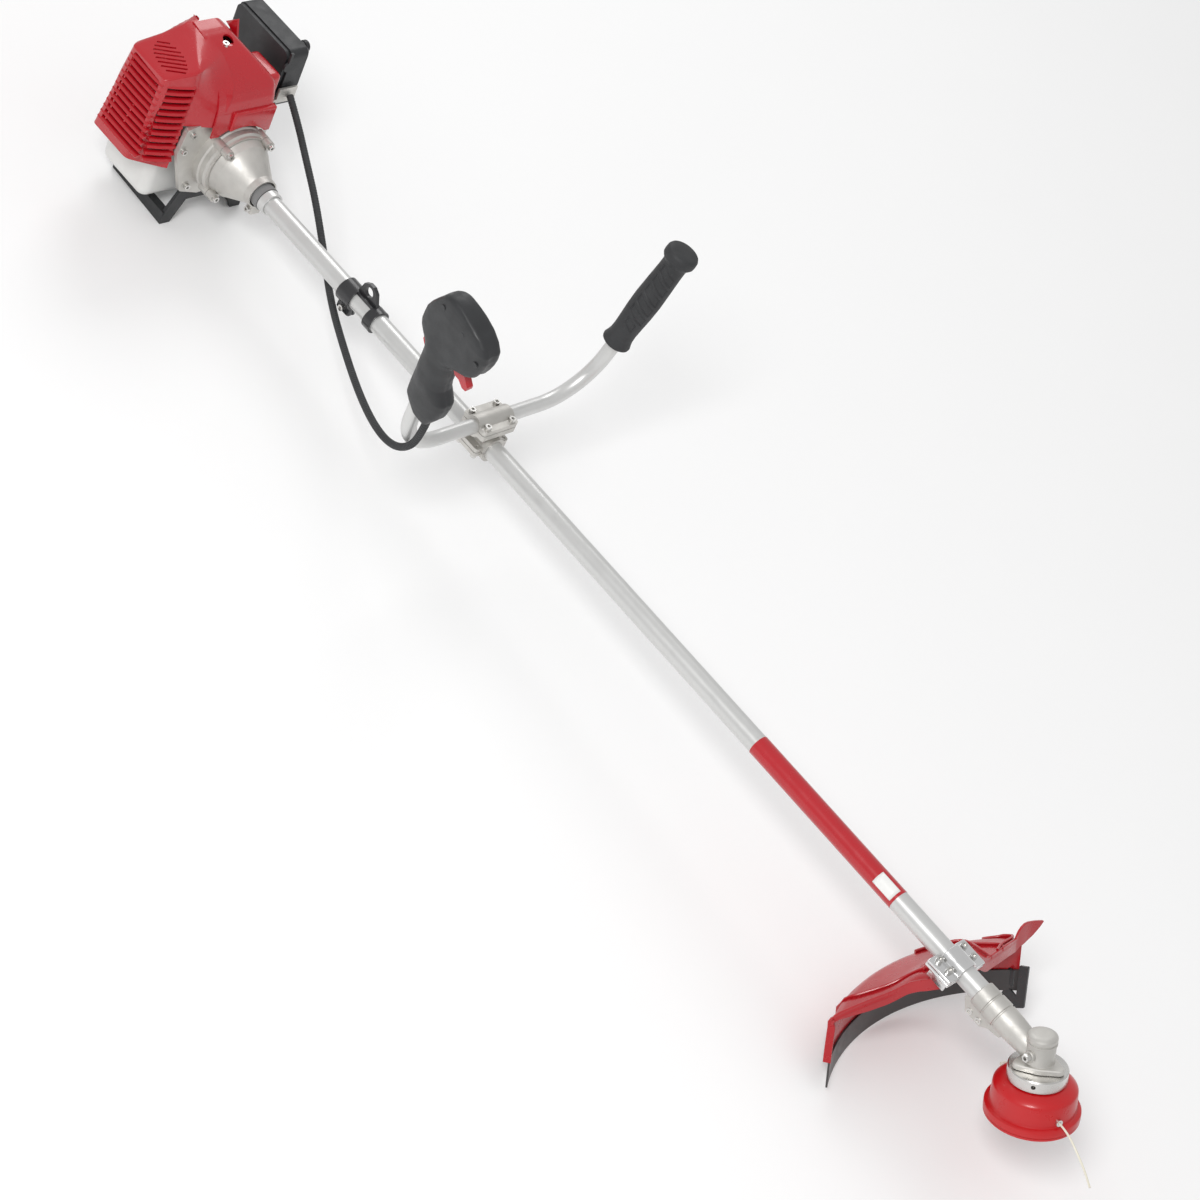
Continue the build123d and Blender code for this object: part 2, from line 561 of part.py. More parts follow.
with BuildPart() as handlebar_clamp_base:
    block((BAR_X - 21.0, BAR_X + 21.0), (-28.0, 28.0), (22.0, 29.6), 4.0)
    block((BAR_X - 15.0, BAR_X + 15.0), (-16.0, 16.0), (0.0, 23.0))
    rod(beside(28.0, BAR_X, BAR_Z), 14.0, 56.0)
    rod(across(BAR_X - 23.0), 17.5, 46.0)
    block((BAR_X - 19.0, BAR_X + 19.0), (-27.0, 27.0), (-6.0, 6.0), 4.0)
    block((BAR_X - 30.0, BAR_X + 30.0), (-40.0, 40.0), (29.6, 60.0), mode=Mode.SUBTRACT)
    block((BAR_X - 30.0, BAR_X + 30.0), (-40.0, 40.0), (-30.0, 0.4), mode=Mode.SUBTRACT)
    rod(beside(40.0, BAR_X, BAR_Z), BAR_R + FIT, 80.0, mode=Mode.SUBTRACT)
    rod(across(BAR_X - 30.0), TUBE_R + FIT, 60.0, mode=Mode.SUBTRACT)
    drill(BAR_SCREWS, 20.0)
    drill(TUBE_CLAMP_SCREWS, 14.0)

with BuildPart() as handlebar_clamp_cap:
    rod(beside(28.0, BAR_X, BAR_Z), 14.0, 56.0)
    block((BAR_X - 21.0, BAR_X + 21.0), (-28.0, 28.0), (30.4, 37.0), 4.0)
    block((BAR_X - 30.0, BAR_X + 30.0), (-40.0, 40.0), (0.0, 30.4), mode=Mode.SUBTRACT)
    rod(beside(40.0, BAR_X, BAR_Z), BAR_R + FIT, 80.0, mode=Mode.SUBTRACT)
    for plane in BAR_SCREWS:
        rod(plane, 5.2, 12.0, mode=Mode.SUBTRACT)
    drill(BAR_SCREWS, 20.0)

with BuildPart() as left_grip:
    turned(
        side_of(LEFT_ARM),
        Axis(LEFT_ARM.origin, LEFT_ARM.z_dir),
        [
            (BAR_R + FIT, 89.0), (17.0, 89.0), (18.6, 92.0), (16.2, 104.0), (16.6, 125.0), (17.8, 160.0),
            (16.6, 200.0), (16.4, 226.0), (20.0, 231.0), (21.6, 236.0), (21.2, 243.0), (17.0, 247.0), (0.0, 247.0),
            (0.0, 240.4), (BAR_R + FIT, 240.4),
        ],
    )

# ---------------------------------------------------------------- throttle handle
HANDLE_HALF = 15.0
HANDLE_OUTLINE = [
    (-34, 216), (-34, 242), (-18, 276), (-2, 288), (20, 289), (40, 283), (58, 274), (68, 264), (71, 250),
    (67, 232), (58, 216), (43, 209), (29, 190), (27, 160), (33, 148), (40, 137), (38, 112), (33, 92), (6, 92),
    (-5, 100), (-16, 108), (-16, 134), (-17.5, 160), (-17, 201),
]


def handle_half(start, thickness):
    """One shell of the throttle handle, hollowed for the tube, the trigger and the lock lever."""
    prism(side_of(RIGHT_ARM, start), HANDLE_OUTLINE, thickness, 3.0)
    rod(RIGHT_ARM.offset(60.0), BAR_R + FIT, 114.0, mode=Mode.SUBTRACT)
    trigger_room = placed(Plane(origin=(35.5, 0, 176.0)), RIGHT_ARM)
    slab(trigger_room, 31.0, 11.0, 64.0, mode=Mode.SUBTRACT)
    lock_room = placed(Plane(origin=(-19.0, 0, 178.0)), RIGHT_ARM)
    slab(lock_room, 32.0, 9.4, 35.0, mode=Mode.SUBTRACT)


with BuildPart() as throttle_handle_outer:
    handle_half(-0.1, HANDLE_HALF)
    face_edges = throttle_handle_outer.faces().sort_by(Axis(RIGHT_ARM.origin, RIGHT_ARM.y_dir))[0].outer_wire().edges()
    fillet(face_edges, 4.5)

with BuildPart() as throttle_handle_inner:
    handle_half(0.1 + HANDLE_HALF, HANDLE_HALF)
    face_edges = throttle_handle_inner.faces().sort_by(Axis(RIGHT_ARM.origin, RIGHT_ARM.y_dir))[-1].outer_wire().edges()
    fillet(face_edges, 4.5)
    switch_room = placed(Plane(origin=(8.0, 250.0, -HANDLE_HALF - 0.2)), side_of(RIGHT_ARM))
    slab(switch_room, 9.0, 17.0, 3.6, mode=Mode.SUBTRACT)

with BuildPart() as stop_switch:
    slab(placed(Plane(origin=(8.0, 254.0, -HANDLE_HALF - 2.5)), side_of(RIGHT_ARM)), 8.0, 8.0, 5.4, 1.0)

with BuildPart() as trigger:
    prism(
        side_of(RIGHT_ARM, 4.5),
        [(27, 199), (30, 208), (38, 208), (48, 203), (57, 193), (57, 187), (50, 186), (42, 191), (34, 191)],
        9.0,
        2.0,
    )
    rod(placed(Plane(origin=(33.0, 202.0, -10.0)), side_of(RIGHT_ARM)), 2.05, 20.0, mode=Mode.SUBTRACT)

with BuildPart() as lockout_lever:
    prism(
        side_of(RIGHT_ARM, 4.2),
        [(-14, 207), (-8, 207), (-6, 196), (-10, 184), (-20, 182), (-25, 188), (-24, 197), (-17.5, 203)],
        8.4,
        1.5,
    )
    rod(placed(Plane(origin=(-11.0, 203.0, -10.0)), side_of(RIGHT_ARM)), 1.55, 20.0, mode=Mode.SUBTRACT)

HANDLE_SCREWS = ((-8.0, 268.0), (30.0, 263.0), (10.0, 196.0), (61.0, 247.0))

with BuildPart() as handle_pins:
    rod(placed(Plane(origin=(33.0, 202.0, -7.0)), side_of(RIGHT_ARM)), 2.0, 14.0)
    rod(placed(Plane(origin=(-11.0, 203.0, -7.0)), side_of(RIGHT_ARM)), 1.5, 14.0)
    for u, d in HANDLE_SCREWS:
        rod(placed(Plane(origin=(u, d, -10.0)), side_of(RIGHT_ARM)), 1.8, 24.0)
        rod(placed(Plane(origin=(u, d, 14.0)), side_of(RIGHT_ARM)), 3.6, 2.0)

for shell in (throttle_handle_outer, throttle_handle_inner):
    with shell:
        rod(placed(Plane(origin=(33.0, 202.0, -7.1)), side_of(RIGHT_ARM)), 2.05, 14.2, mode=Mode.SUBTRACT)
        rod(placed(Plane(origin=(-11.0, 203.0, -7.1)), side_of(RIGHT_ARM)), 1.55, 14.2, mode=Mode.SUBTRACT)
        for u, d in HANDLE_SCREWS:
            rod(placed(Plane(origin=(u, d, -10.1)), side_of(RIGHT_ARM)), 1.85, 24.2, mode=Mode.SUBTRACT)
            rod(placed(Plane(origin=(u, d, 13.95)), side_of(RIGHT_ARM)), 3.65, 5.0, mode=Mode.SUBTRACT)

# ---------------------------------------------------------------- throttle cable, from the handle to the carburettor
CABLE_R = 4.75
CABLE_ROUTE = [
    RIGHT_ARM.from_local_coords(Vector(23.0, -1.0, 91.6)),
    point(-968.5, -162.0, 80.0),
    point(-985.0, -155.0, 48.0),
    point(-1014.0, -144.0, 22.0),
    point(-1060.0, -124.0, 2.0),
    point(-1125.0, -90.0, -16.0),
    point(-1205.0, -46.0, -29.0),
    point(-1285.0, -4.0, -33.0),
    point(-1352.0, 30.0, -16.0),
    point(-1412.0, 52.0, 12.0),
    point(-1464.0, 68.0, 33.0),
    point(-1512.0, 84.0, 51.0),
    point(-1547.4, 93.0, 64.5),
]


def bend_radii(route):
    """Largest arc at each corner that uses at most 0.45 of the shorter run beside it."""
    radii = []
    for before, corner, after in zip(route, route[1:], route[2:]):
        half_turn = radians((corner - before).get_angle(after - corner)) / 2
        radii.append(0.45 * min((corner - before).length, (after - corner).length) / tan(half_turn))
    return radii


print("cable radii", [round(r) for r in bend_radii(CABLE_ROUTE)])
with BuildPart() as throttle_cable:
    with BuildLine() as cable_line:
        FilletPolyline(*CABLE_ROUTE, radius=bend_radii(CABLE_ROUTE))
    with BuildSketch(Plane(origin=cable_line.line @ 0, z_dir=cable_line.line % 0)):
        Circle(CABLE_R)
    sweep()
cable_length = sum(edge.length for edge in cable_line.edges())
print("cable length", cable_length, "volume ratio", throttle_cable.part.volume / (cable_length * 3.14159 * CABLE_R**2))

# ---------------------------------------------------------------- gear head
APEX = 19.48  # cone distance of the bevel pair
FACE = 5.0


def tooth_outline(count, station, cone, scale):
    """Outline of one tooth in the plane square to its gear's axis, centred on the sketch's +x."""
    step = 90.0 / count
    rings = [(cone - 4.4, 1.42), (cone - 3.6, 1.30), (cone, 0.84), (cone + 1.5, 0.58), (cone + 2.7, 0.36)]
    left = [
        (station * tan(radians(angle)), radians(step * share)) for angle, share in rings
    ]
    outline = [(r * scale * cos(a), r * scale * sin(a)) for r, a in left]
    return outline + [(r * scale * cos(a), -r * scale * sin(a)) for r, a in reversed(left)]


def bevel_teeth(base, count, station, cone, first):
    """Ring of straight bevel teeth whose cones all meet at the shaft crossing; the axis is the base's z."""
    small = (APEX - FACE) / APEX
    for index in range(count):
        turned_base = placed(Plane.XY.rotated((0, 0, first + 360.0 / count * index)), base)
        with BuildSketch(placed(Plane.XY.offset(station), turned_base)) as outer:
            Polygon(*tooth_outline(count, station, cone, 1.0), align=None)
        with BuildSketch(placed(Plane.XY.offset(station * small), turned_base)) as inner:
            Polygon(*tooth_outline(count, station, cone, small), align=None)
        loft([outer.sketch, inner.sketch])


BACKWARD = Plane(SHAFT.origin, x_dir=SHAFT.z_dir, z_dir=-SHAFT.x_dir)  # pinion's axis runs back along the shaft
PINION_CONE = 27.0
GEAR_CONE = 38.0

with BuildPart() as pinion_gear:
    station = APEX * cos(radians(PINION_CONE))
    small = (APEX - FACE) / APEX
    root = tan(radians(PINION_CONE - 4.1))
    turned(
        side_of(BACKWARD),
        Axis(BACKWARD.origin, BACKWARD.z_dir),
        [
            (0, station * small), (station * small * root, station * small), (station * root, station),
            (station * root, 20.0), (7.5, 22.0), (7.5, 26.0), (5.0, 26.0), (5.0, 42.0), (0, 42.0),
        ],
    )
    bevel_teeth(BACKWARD, 14, station, PINION_CONE, 0.0)

with BuildPart() as bevel_gear:
    station = APEX * cos(radians(GEAR_CONE))
    root = tan(radians(GEAR_CONE - 4.1))
    turned(
        side_of(HEAD),
        Axis(HEAD.origin, HEAD.z_dir),
        [
            (5.0 + FIT, station * small), (station * small * root, station * small), (station * root, station),
            (station * root, 17.5), (8.0, 20.4), (5.0 + FIT, 20.4),
        ],
    )
    bevel_teeth(HEAD, 19, station, GEAR_CONE, 180.0 + 180.0 / 19)

with BuildPart() as output_shaft:
    rod(HEAD.offset(-46.0), 5.0, 72.4)

with BuildPart() as gear_case:
    rod(across(-95.0), 17.0, 77.0)
    rod(HEAD.offset(-8.6), 16.3, 38.4)
    block((-95.0, -71.5), (-6.0, 7.0), (-30.0, -12.0), 2.5)
    rod(placed(Plane(origin=(0, 15.0, 10.0), x_dir=(1, 0, 0), z_dir=(0, 1, 0)), HEAD), 5.0, 4.0)
    rod(across(-96.0), TUBE_R + FIT, 34.3, mode=Mode.SUBTRACT)
    rod(across(-62.0), 9.5, 30.0, mode=Mode.SUBTRACT)
    rod(across(-35.0), 13.0, 12.0, mode=Mode.SUBTRACT)
    rod(across(-24.0), 11.2, 20.0, mode=Mode.SUBTRACT)
    rod(HEAD.offset(-10.0), 13.95, 45.0, mode=Mode.SUBTRACT)
    block((-96.0, -71.0), (-0.8, 0.8), (-31.0, -11.0), mode=Mode.SUBTRACT)
    drill(CASE_SCREWS, 14.0)

with BuildPart() as case_cap:
    rod(HEAD.offset(26.9), 13.9, 3.2)
    rod(HEAD.offset(29.9), 16.3, 1.6)
    chamfer(case_cap.faces().sort_by(HEAD_AXIS)[-1].edges(), 0.8)

with BuildPart() as case_shield:
    with BuildSketch(HEAD.offset(-10.3)) as shield_plan:
        Circle(17.5)
        for turn in (0.0, 120.0, 240.0):
            with Locations((22.5 * cos(radians(turn)), 22.5 * sin(radians(turn)))):
                Circle(4.5)
        make_hull()
    extrude(amount=1.6)
    rod(HEAD.offset(-11.0), 5.6, 4.0, mode=Mode.SUBTRACT)

with BuildPart() as adapter_plate:
    rod(HEAD.offset(-24.8), 33.7, 14.0, 5.0 + FIT)
    chamfer(adapter_plate.faces().sort_by(HEAD_AXIS)[-1].outer_wire().edges(), 1.2)
    radial = placed(Plane(origin=(0, 0, -17.5), x_dir=(0, 0, 1), z_dir=(cos(radians(-62)), sin(radians(-62)), 0)), HEAD)
    rod(radial.offset(20.0), 2.6, 20.0, mode=Mode.SUBTRACT)

# ---------------------------------------------------------------- trimmer head
EYELET_TURN = -20.0

with BuildPart() as head_housing:
    turned(
        side_of(HEAD),
        HEAD_AXIS,
        [
            (5.0 + FIT, -25.2), (12.0, -25.2), (34.0, -27.0), (46.0, -35.0), (48.0, -38.0), (49.5, -60.0),
            (53.5, -64.0), (53.5, -70.0), (51.0, -70.0), (51.0, -65.0), (47.0, -61.0), (45.5, -39.0),
            (44.0, -37.0), (33.0, -29.7), (9.0, -29.7), (9.0, -46.0), (5.0 + FIT, -46.0),
        ],
    )
    for turn in (EYELET_TURN, EYELET_TURN + 180.0):
        way = Plane(origin=(0, 0, -53.0), x_dir=(0, 0, 1), z_dir=(cos(radians(turn)), sin(radians(turn)), 0))
        rod(placed(way, HEAD).offset(44.0), 4.05, 10.0, mode=Mode.SUBTRACT)

with BuildPart() as line_eyelets:
    for turn in (EYELET_TURN, EYELET_TURN + 180.0):
        way = Plane(origin=(0, 0, -53.0), x_dir=(0, 0, 1), z_dir=(cos(radians(turn)), sin(radians(turn)), 0))
        rod(placed(way, HEAD).offset(45.6), 4.0, 5.4, 1.6)

with BuildPart() as head_cover:
    rod(HEAD.offset(-74.0), 53.4, 3.95, 18.5)
    rod(HEAD.offset(-70.5), 50.9, 3.5, 48.6)
    chamfer(head_cover.faces().sort_by(HEAD_AXIS)[0].outer_wire().edges(), 1.5)

with BuildPart() as spool:
    rod(HEAD.offset(-66.0), 22.0, 28.0, 9.4)
    rod(HEAD.offset(-40.5), 35.0, 2.5, 20.0)
    rod(HEAD.offset(-66.0), 44.0, 2.5, 20.0)

with BuildPart() as line_coil:
    rod(HEAD.offset(-63.4), 33.0, 22.8, 22.0 + FIT)

with BuildPart() as bump_knob:
    turned(
        side_of(HEAD),
        HEAD_AXIS,
        [(0, -66.05), (17.8, -66.05), (17.8, -80.0), (14.5, -84.5), (8.0, -86.0), (0, -86.0)],
    )


def line_end(turn, route):
    """A free end of trimmer line, starting in its eyelet."""
    start = placed(Plane.XY.rotated((0, 0, turn)), HEAD)
    path = [start.from_local_coords(Vector(47.0, 0, -53.0)), start.from_local_coords(Vector(66.0, 0, -54.0))]
    path += [HEAD.from_local_coords(Vector(*p)) for p in route]
    print("line radii", [round(r) for r in bend_radii(path)])
    with BuildLine() as way:
        FilletPolyline(*path, radius=bend_radii(path))
    with BuildSketch(Plane(origin=way.line @ 0, z_dir=way.line % 0)) as section:
        Circle(1.2)
    sweep(section.sketch, path=way.line)


with BuildPart() as front_line:
    line_end(EYELET_TURN, [(82.0, -30.0, -66.0), (96.0, -30.0, -84.0), (103.0, -28.0, -101.0)])

with BuildPart() as rear_line:
    line_end(EYELET_TURN + 180.0, [(-70.0, 34.0, -60.0), (-66.0, 54.0, -68.0), (-54.0, 70.0, -78.0)])

# ---------------------------------------------------------------- guard
SKIRT_END = -79.1
FRONT_EDGE = [
    (-197.0, -122.0), (-175.0, -80.0), (-154.0, -42.0), (-138.0, -14.0), (-126.0, 4.0), (-127.0, 68.0),
    (-134.0, 134.0), (-138.0, 186.0), (-146.0, 210.0),
]
BEHIND = [(-200.0, 260.0), (-300.0, 150.0), (-300.0, -100.0), (-230.0, -142.0)]


def set_back(distance):
    return [(x - distance, y) for x, y in FRONT_EDGE]


def guard_shell(points, plan):
    """Shell of revolution about the guard's axis, kept only over a plan."""
    turned(side_of(GUARD), GUARD_AXIS, points)
    prism(GUARD.offset(-120.0), plan, 200.0, mode=Mode.INTERSECT)


with BuildPart() as guard_lip:
    guard_shell(
        [
            (100, 30), (150, 30), (190, 22), (226, 8), (245, -6), (245, -50), (230, -50), (230, -16),
            (222, -6), (190, 6), (150, 20), (100, 22),
        ],
        set_back(0.0) + set_back(3.0)[::-1],
    )

with BuildPart() as guard_ridge:
    guard_shell(
        [(100, 28.5), (150, 28.5), (190, 16), (222, 2), (222, -6), (190, 6), (150, 20), (100, 22)],
        set_back(19.0) + set_back(22.0)[::-1],
    )

with BuildPart() as guard:
    guard_shell(
        [
            (100, 25.9), (150, 23), (190, 11), (224, -2), (231, -7), (233, -13), (233, -53), (230, -53),
            (230, -14), (228.5, -9.5), (223, -5), (190, 8), (150, 20), (100, 22.5),
        ],
        set_back(0.5) + BEHIND,
    )
    slab(placed(Plane(origin=(-149.0, 0, 19.0)), GUARD), 40.0, 86.0, 6.9, 5.0)
    add(guard_lip.part)
    add(guard_ridge.part)
    slab(placed(Plane(origin=(-148.0, 0, 25.9)), GUARD), 60.0, 84.0, 30.0, mode=Mode.SUBTRACT)
    for index in range(2, 5):
        rib = placed(Plane(origin=(-139.0, 12.0 + 26.0 * index, 18.0)), GUARD)
        slab(rib, 21.0, 2.5, 9.5)
    far_end = placed(Plane.XY.rotated((0, 0, 132.0)), GUARD)
    slab(placed(Plane(origin=(240.0, -60.0, -90.0)), far_end), 60.0, 120.0, 78.0, mode=Mode.SUBTRACT)
    drill(GUARD_PLATE_SCREWS, 16.0)

with BuildPart() as guard_skirt:
    guard_shell(
        [
            (226.9, -42), (229.9, -42), (229.9, -53.3), (233, -53.3), (233, SKIRT_END), (229.8, SKIRT_END),
            (229.8, -58), (226.9, -58),
        ],
        set_back(4.0) + BEHIND,
    )
    slab(placed(Plane(origin=(240.0, -60.0, -90.0)), far_end), 60.0, 120.0, 78.0, mode=Mode.SUBTRACT)

with BuildPart() as line_cutter:
    cutter_plane = placed(Plane(origin=(0, -0.05, 0), x_dir=(1, 0, 0), z_dir=(0, -1, 0)), far_end)
    prism(
        cutter_plane,
        [(186, -14), (194, -14), (194, -44), (229, -44), (229, -58), (186, -58)],
        2.0,
    )

with BuildPart() as guard_bracket:
    block((-158.0, -122.0), (-27.0, 27.0), (-70.0, -0.4), 4.0)
    slab(placed(Plane(origin=(-148.0, 0, 25.95)), GUARD), 38.0, 82.0, 4.0, 5.0)
    slab(placed(Plane(origin=(-148.0, 0, -90.0)), GUARD), 160.0, 160.0, 90.0 + 25.95, mode=Mode.SUBTRACT)
    rod(across(-170.0), TUBE_R + FIT, 60.0, mode=Mode.SUBTRACT)
    for plane in GUARD_PLATE_SCREWS:
        rod(plane, 5.0, 8.0, mode=Mode.SUBTRACT)
    drill(GUARD_SCREWS, 22.0)
    drill(GUARD_PLATE_SCREWS, 16.0)

with BuildPart() as guard_clamp_cap:
    rod(across(-158.0), 18.0, 36.0)
    block((-158.0, -122.0), (-27.0, 27.0), (0.4, 5.0), 4.0)
    block((-160.0, -120.0), (-30.0, 30.0), (-30.0, 0.4), mode=Mode.SUBTRACT)
    rod(across(-170.0), TUBE_R + FIT, 60.0, mode=Mode.SUBTRACT)
    for plane in GUARD_SCREWS:
        rod(plane, 5.0, 12.0, mode=Mode.SUBTRACT)
    drill(GUARD_SCREWS, 10.0)

with BuildPart() as handlebar_clamp_foot:
    rod(across(BAR_X - 23.0), 17.5, 46.0)
    block((BAR_X - 19.0, BAR_X + 19.0), (-27.0, 27.0), (-6.0, -0.4), 4.0)
    block((BAR_X - 30.0, BAR_X + 30.0), (-40.0, 40.0), (-0.4, 30.0), mode=Mode.SUBTRACT)
    rod(across(BAR_X - 30.0), TUBE_R + FIT, 60.0, mode=Mode.SUBTRACT)
    for plane in TUBE_CLAMP_SCREWS:
        rod(plane, 5.0, 12.0, mode=Mode.SUBTRACT)
    drill(TUBE_CLAMP_SCREWS, 14.0)

with BuildPart() as label_sleeve:
    rod(across(-476.0), TUBE_R + 0.4, 243.0, TUBE_R + FIT)

with BuildPart() as cap_screws:
    for planes, length in (
        (BELL_SCREWS, 22.0), (PLATE_SCREWS, 9.0), (BAR_SCREWS, 14.0), (TUBE_CLAMP_SCREWS, 11.0),
        (GUARD_SCREWS, 20.0), (GUARD_PLATE_SCREWS, 9.0), (CASE_SCREWS, 13.0), (HARNESS_SCREW, 14.0),
        (NECK_SCREW, 13.0), (COVER_SCREW, 10.0),
    ):
        for plane in planes:
            screw(plane, length)

# ---------------------------------------------------------------- pieces that share a node, as separate solids
with BuildPart() as handlebar_clamp:
    add(handlebar_clamp_base.part)
    add(handlebar_clamp_cap.part)
    add(handlebar_clamp_foot.part)

with BuildPart() as guard_clamp:
    add(guard_bracket.part)
    add(guard_clamp_cap.part)

with BuildPart() as case_covers:
    add(case_cap.part)
    add(case_shield.part)

with BuildPart() as line_spool:
    add(spool.part)
    add(line_coil.part)

with BuildPart() as rubber_bushes:
    add(shaft_bushes.part)
    add(vibration_damper.part)

with BuildPart() as piston_and_rod:
    add(piston.part)
    add(connecting_rod.part)

with BuildPart() as ignition_plug:
    add(spark_plug.part)
    add(plug_cap.part)

with BuildPart() as air_filter:
    add(air_filter_base.part)
    add(filter_element.part)

with BuildPart() as screws_and_pins:
    add(cap_screws.part)
    add(handle_pins.part)

# ---------------------------------------------------------------- hand over
PIECES = {
    "main_tube": main_tube,
    "label_sleeve": label_sleeve,
    "drive_shaft": drive_shaft,
    "rubber_bushes": rubber_bushes,
    "ball_bearings": ball_bearings,
    "tube_collar": tube_collar,
    "clutch_housing": clutch_housing,
    "clutch_drum": clutch_drum,
    "clutch_shoes": clutch_shoes,
    "fan_housing": fan_housing,
    "flywheel": flywheel,
    "crankshaft": crankshaft,
    "crankcase": crankcase,
    "cylinder": cylinder,
    "piston_and_rod": piston_and_rod,
    "ignition_plug": ignition_plug,
    "muffler": muffler,
    "engine_cover": engine_cover,
    "muffler_guard": muffler_guard,
    "carburettor": carburettor,
    "throttle_lever": throttle_lever,
    "primer_bulb": primer_bulb,
    "choke_lever": choke_lever,
    "air_filter": air_filter,
    "air_filter_cover": air_filter_cover,
    "filter_knob": filter_knob,
    "fuel_tank": fuel_tank,
    "fuel_cap": fuel_cap,
    "tank_stand": tank_stand,
    "starter_housing": starter_housing,
    "starter_pulley": starter_pulley,
    "starter_handle": starter_handle,
    "harness_clamp": harness_clamp,
    "handlebar": handlebar,
    "handlebar_clamp": handlebar_clamp,
    "left_grip": left_grip,
    "throttle_handle_outer": throttle_handle_outer,
    "throttle_handle_inner": throttle_handle_inner,
    "stop_switch": stop_switch,
    "trigger": trigger,
    "lockout_lever": lockout_lever,
    "throttle_cable": throttle_cable,
    "screws_and_pins": screws_and_pins,
    "gear_case": gear_case,
    "case_covers": case_covers,
    "pinion_gear": pinion_gear,
    "bevel_gear": bevel_gear,
    "output_shaft": output_shaft,
    "adapter_plate": adapter_plate,
    "head_housing": head_housing,
    "head_cover": head_cover,
    "line_eyelets": line_eyelets,
    "line_spool": line_spool,
    "bump_knob": bump_knob,
    "front_line": front_line,
    "rear_line": rear_line,
    "guard": guard,
    "guard_skirt": guard_skirt,
    "guard_clamp": guard_clamp,
    "line_cutter": line_cutter,
}

for name, piece in PIECES.items():
    piece.part.label = name
    export_step(piece.part, f"parts/{name}.step")
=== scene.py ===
"""Studio scene of a petrol brush cutter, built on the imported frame."""

import json
import math
from contextlib import contextmanager

import bmesh
import bpy
from mathutils import Matrix, Vector


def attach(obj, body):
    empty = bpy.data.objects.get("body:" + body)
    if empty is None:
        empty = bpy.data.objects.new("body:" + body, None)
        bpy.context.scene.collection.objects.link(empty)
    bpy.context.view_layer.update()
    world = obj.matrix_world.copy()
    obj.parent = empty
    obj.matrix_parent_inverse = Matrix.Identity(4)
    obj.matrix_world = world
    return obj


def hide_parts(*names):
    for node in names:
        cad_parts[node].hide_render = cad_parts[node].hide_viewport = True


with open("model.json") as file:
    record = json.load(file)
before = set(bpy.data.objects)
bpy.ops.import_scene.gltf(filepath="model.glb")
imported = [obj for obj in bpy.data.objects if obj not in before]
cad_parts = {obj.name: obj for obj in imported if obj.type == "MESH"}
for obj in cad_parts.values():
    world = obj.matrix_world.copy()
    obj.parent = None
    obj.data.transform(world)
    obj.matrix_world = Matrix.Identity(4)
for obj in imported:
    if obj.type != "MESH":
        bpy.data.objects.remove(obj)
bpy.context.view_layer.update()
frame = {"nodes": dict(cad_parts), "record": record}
NODES = frame["nodes"]

# ---------------- frames, as in part.py
PITCH = math.radians(2.62)
ORIGIN = Vector((0.7964, 0.0001, 0.1792))
MM = 0.001
HEAD_TILT = math.radians(-25.0)
SHAFT = Matrix.Translation(ORIGIN) @ Matrix.Rotation(-PITCH, 4, "Y")
HEAD = SHAFT @ Matrix.Rotation(HEAD_TILT, 4, "Y")
ARM_FOOT_X, ARM_FOOT_Y, ARM_FOOT_Z = -997.0, 150.8, 30.0
ARM_SWEEP, ARM_SPREAD, ARM_RISE = 0.0943, 0.154, 0.9836


def S(x, y, z):
    """A point of the shaft's frame, in millimetres, as a point of the row frame."""
    return SHAFT @ Vector((x * MM, y * MM, z * MM))


def H(x, y, z):
    """A point of the trimmer head's frame, in millimetres."""
    return HEAD @ Vector((x * MM, y * MM, z * MM))


def at(base, x, y, z):
    """A frame moved to a point of its own, in millimetres."""
    return base @ Matrix.Translation(Vector((x, y, z)) * MM)


def arm_frame(side):
    """Frame of a handlebar arm: z up the arm, x towards the head."""
    along = Vector((ARM_SWEEP, side * ARM_SPREAD, ARM_RISE)).normalized()
    forward = (Vector((1, 0, 0)) - along * along.x).normalized()
    left = along.cross(forward)
    turn = Matrix((forward, left, along)).transposed().to_4x4()
    return at(SHAFT, ARM_FOOT_X, side * ARM_FOOT_Y, ARM_FOOT_Z) @ turn


RIGHT_ARM = arm_frame(-1)
LEFT_ARM = arm_frame(1)

# ---------------- camera
CAMERA_AT = (495.9, -2284.4, 2230.0)
CAMERA_RIGHT = Vector((0.62253, 0.69512, 0.35953))
CAMERA_UP = Vector((-0.69461, 0.27914, 0.66302))
LENS, SENSOR, VIEW_END = 87.24, 36.0, 50.0


def linked(name, data):
    """A new object in the scene."""
    obj = bpy.data.objects.new(name, data)
    bpy.context.collection.objects.link(obj)
    return obj


def make_camera():
    """The photograph's camera, placed in the shaft's frame."""
    data = bpy.data.cameras.new("camera")
    data.lens = LENS
    data.sensor_width = SENSOR
    data.clip_end = VIEW_END
    camera = linked("camera", data)
    right = CAMERA_RIGHT.normalized()
    back = right.cross(CAMERA_UP).normalized()
    up = back.cross(right)
    turn = Matrix((right, up, back)).transposed().to_4x4()
    camera.matrix_world = at(SHAFT, *CAMERA_AT) @ turn
    bpy.context.scene.camera = camera


make_camera()


# ---------------- cords
def nurbs(name, points, diameter):
    """A smooth cord whose control points are the route's points."""
    curve = bpy.data.curves.new(name, "CURVE")
    curve.dimensions = "3D"
    curve.resolution_u = 16
    curve.bevel_depth = diameter / 2
    curve.bevel_resolution = 4
    curve.use_fill_caps = True
    spline = curve.splines.new("NURBS")
    spline.points.add(len(points) - 1)
    for place, point in zip(spline.points, points):
        place.co = (*point, 1.0)
    spline.order_u = 3
    spline.use_endpoint_u = True
    return linked(name, curve)


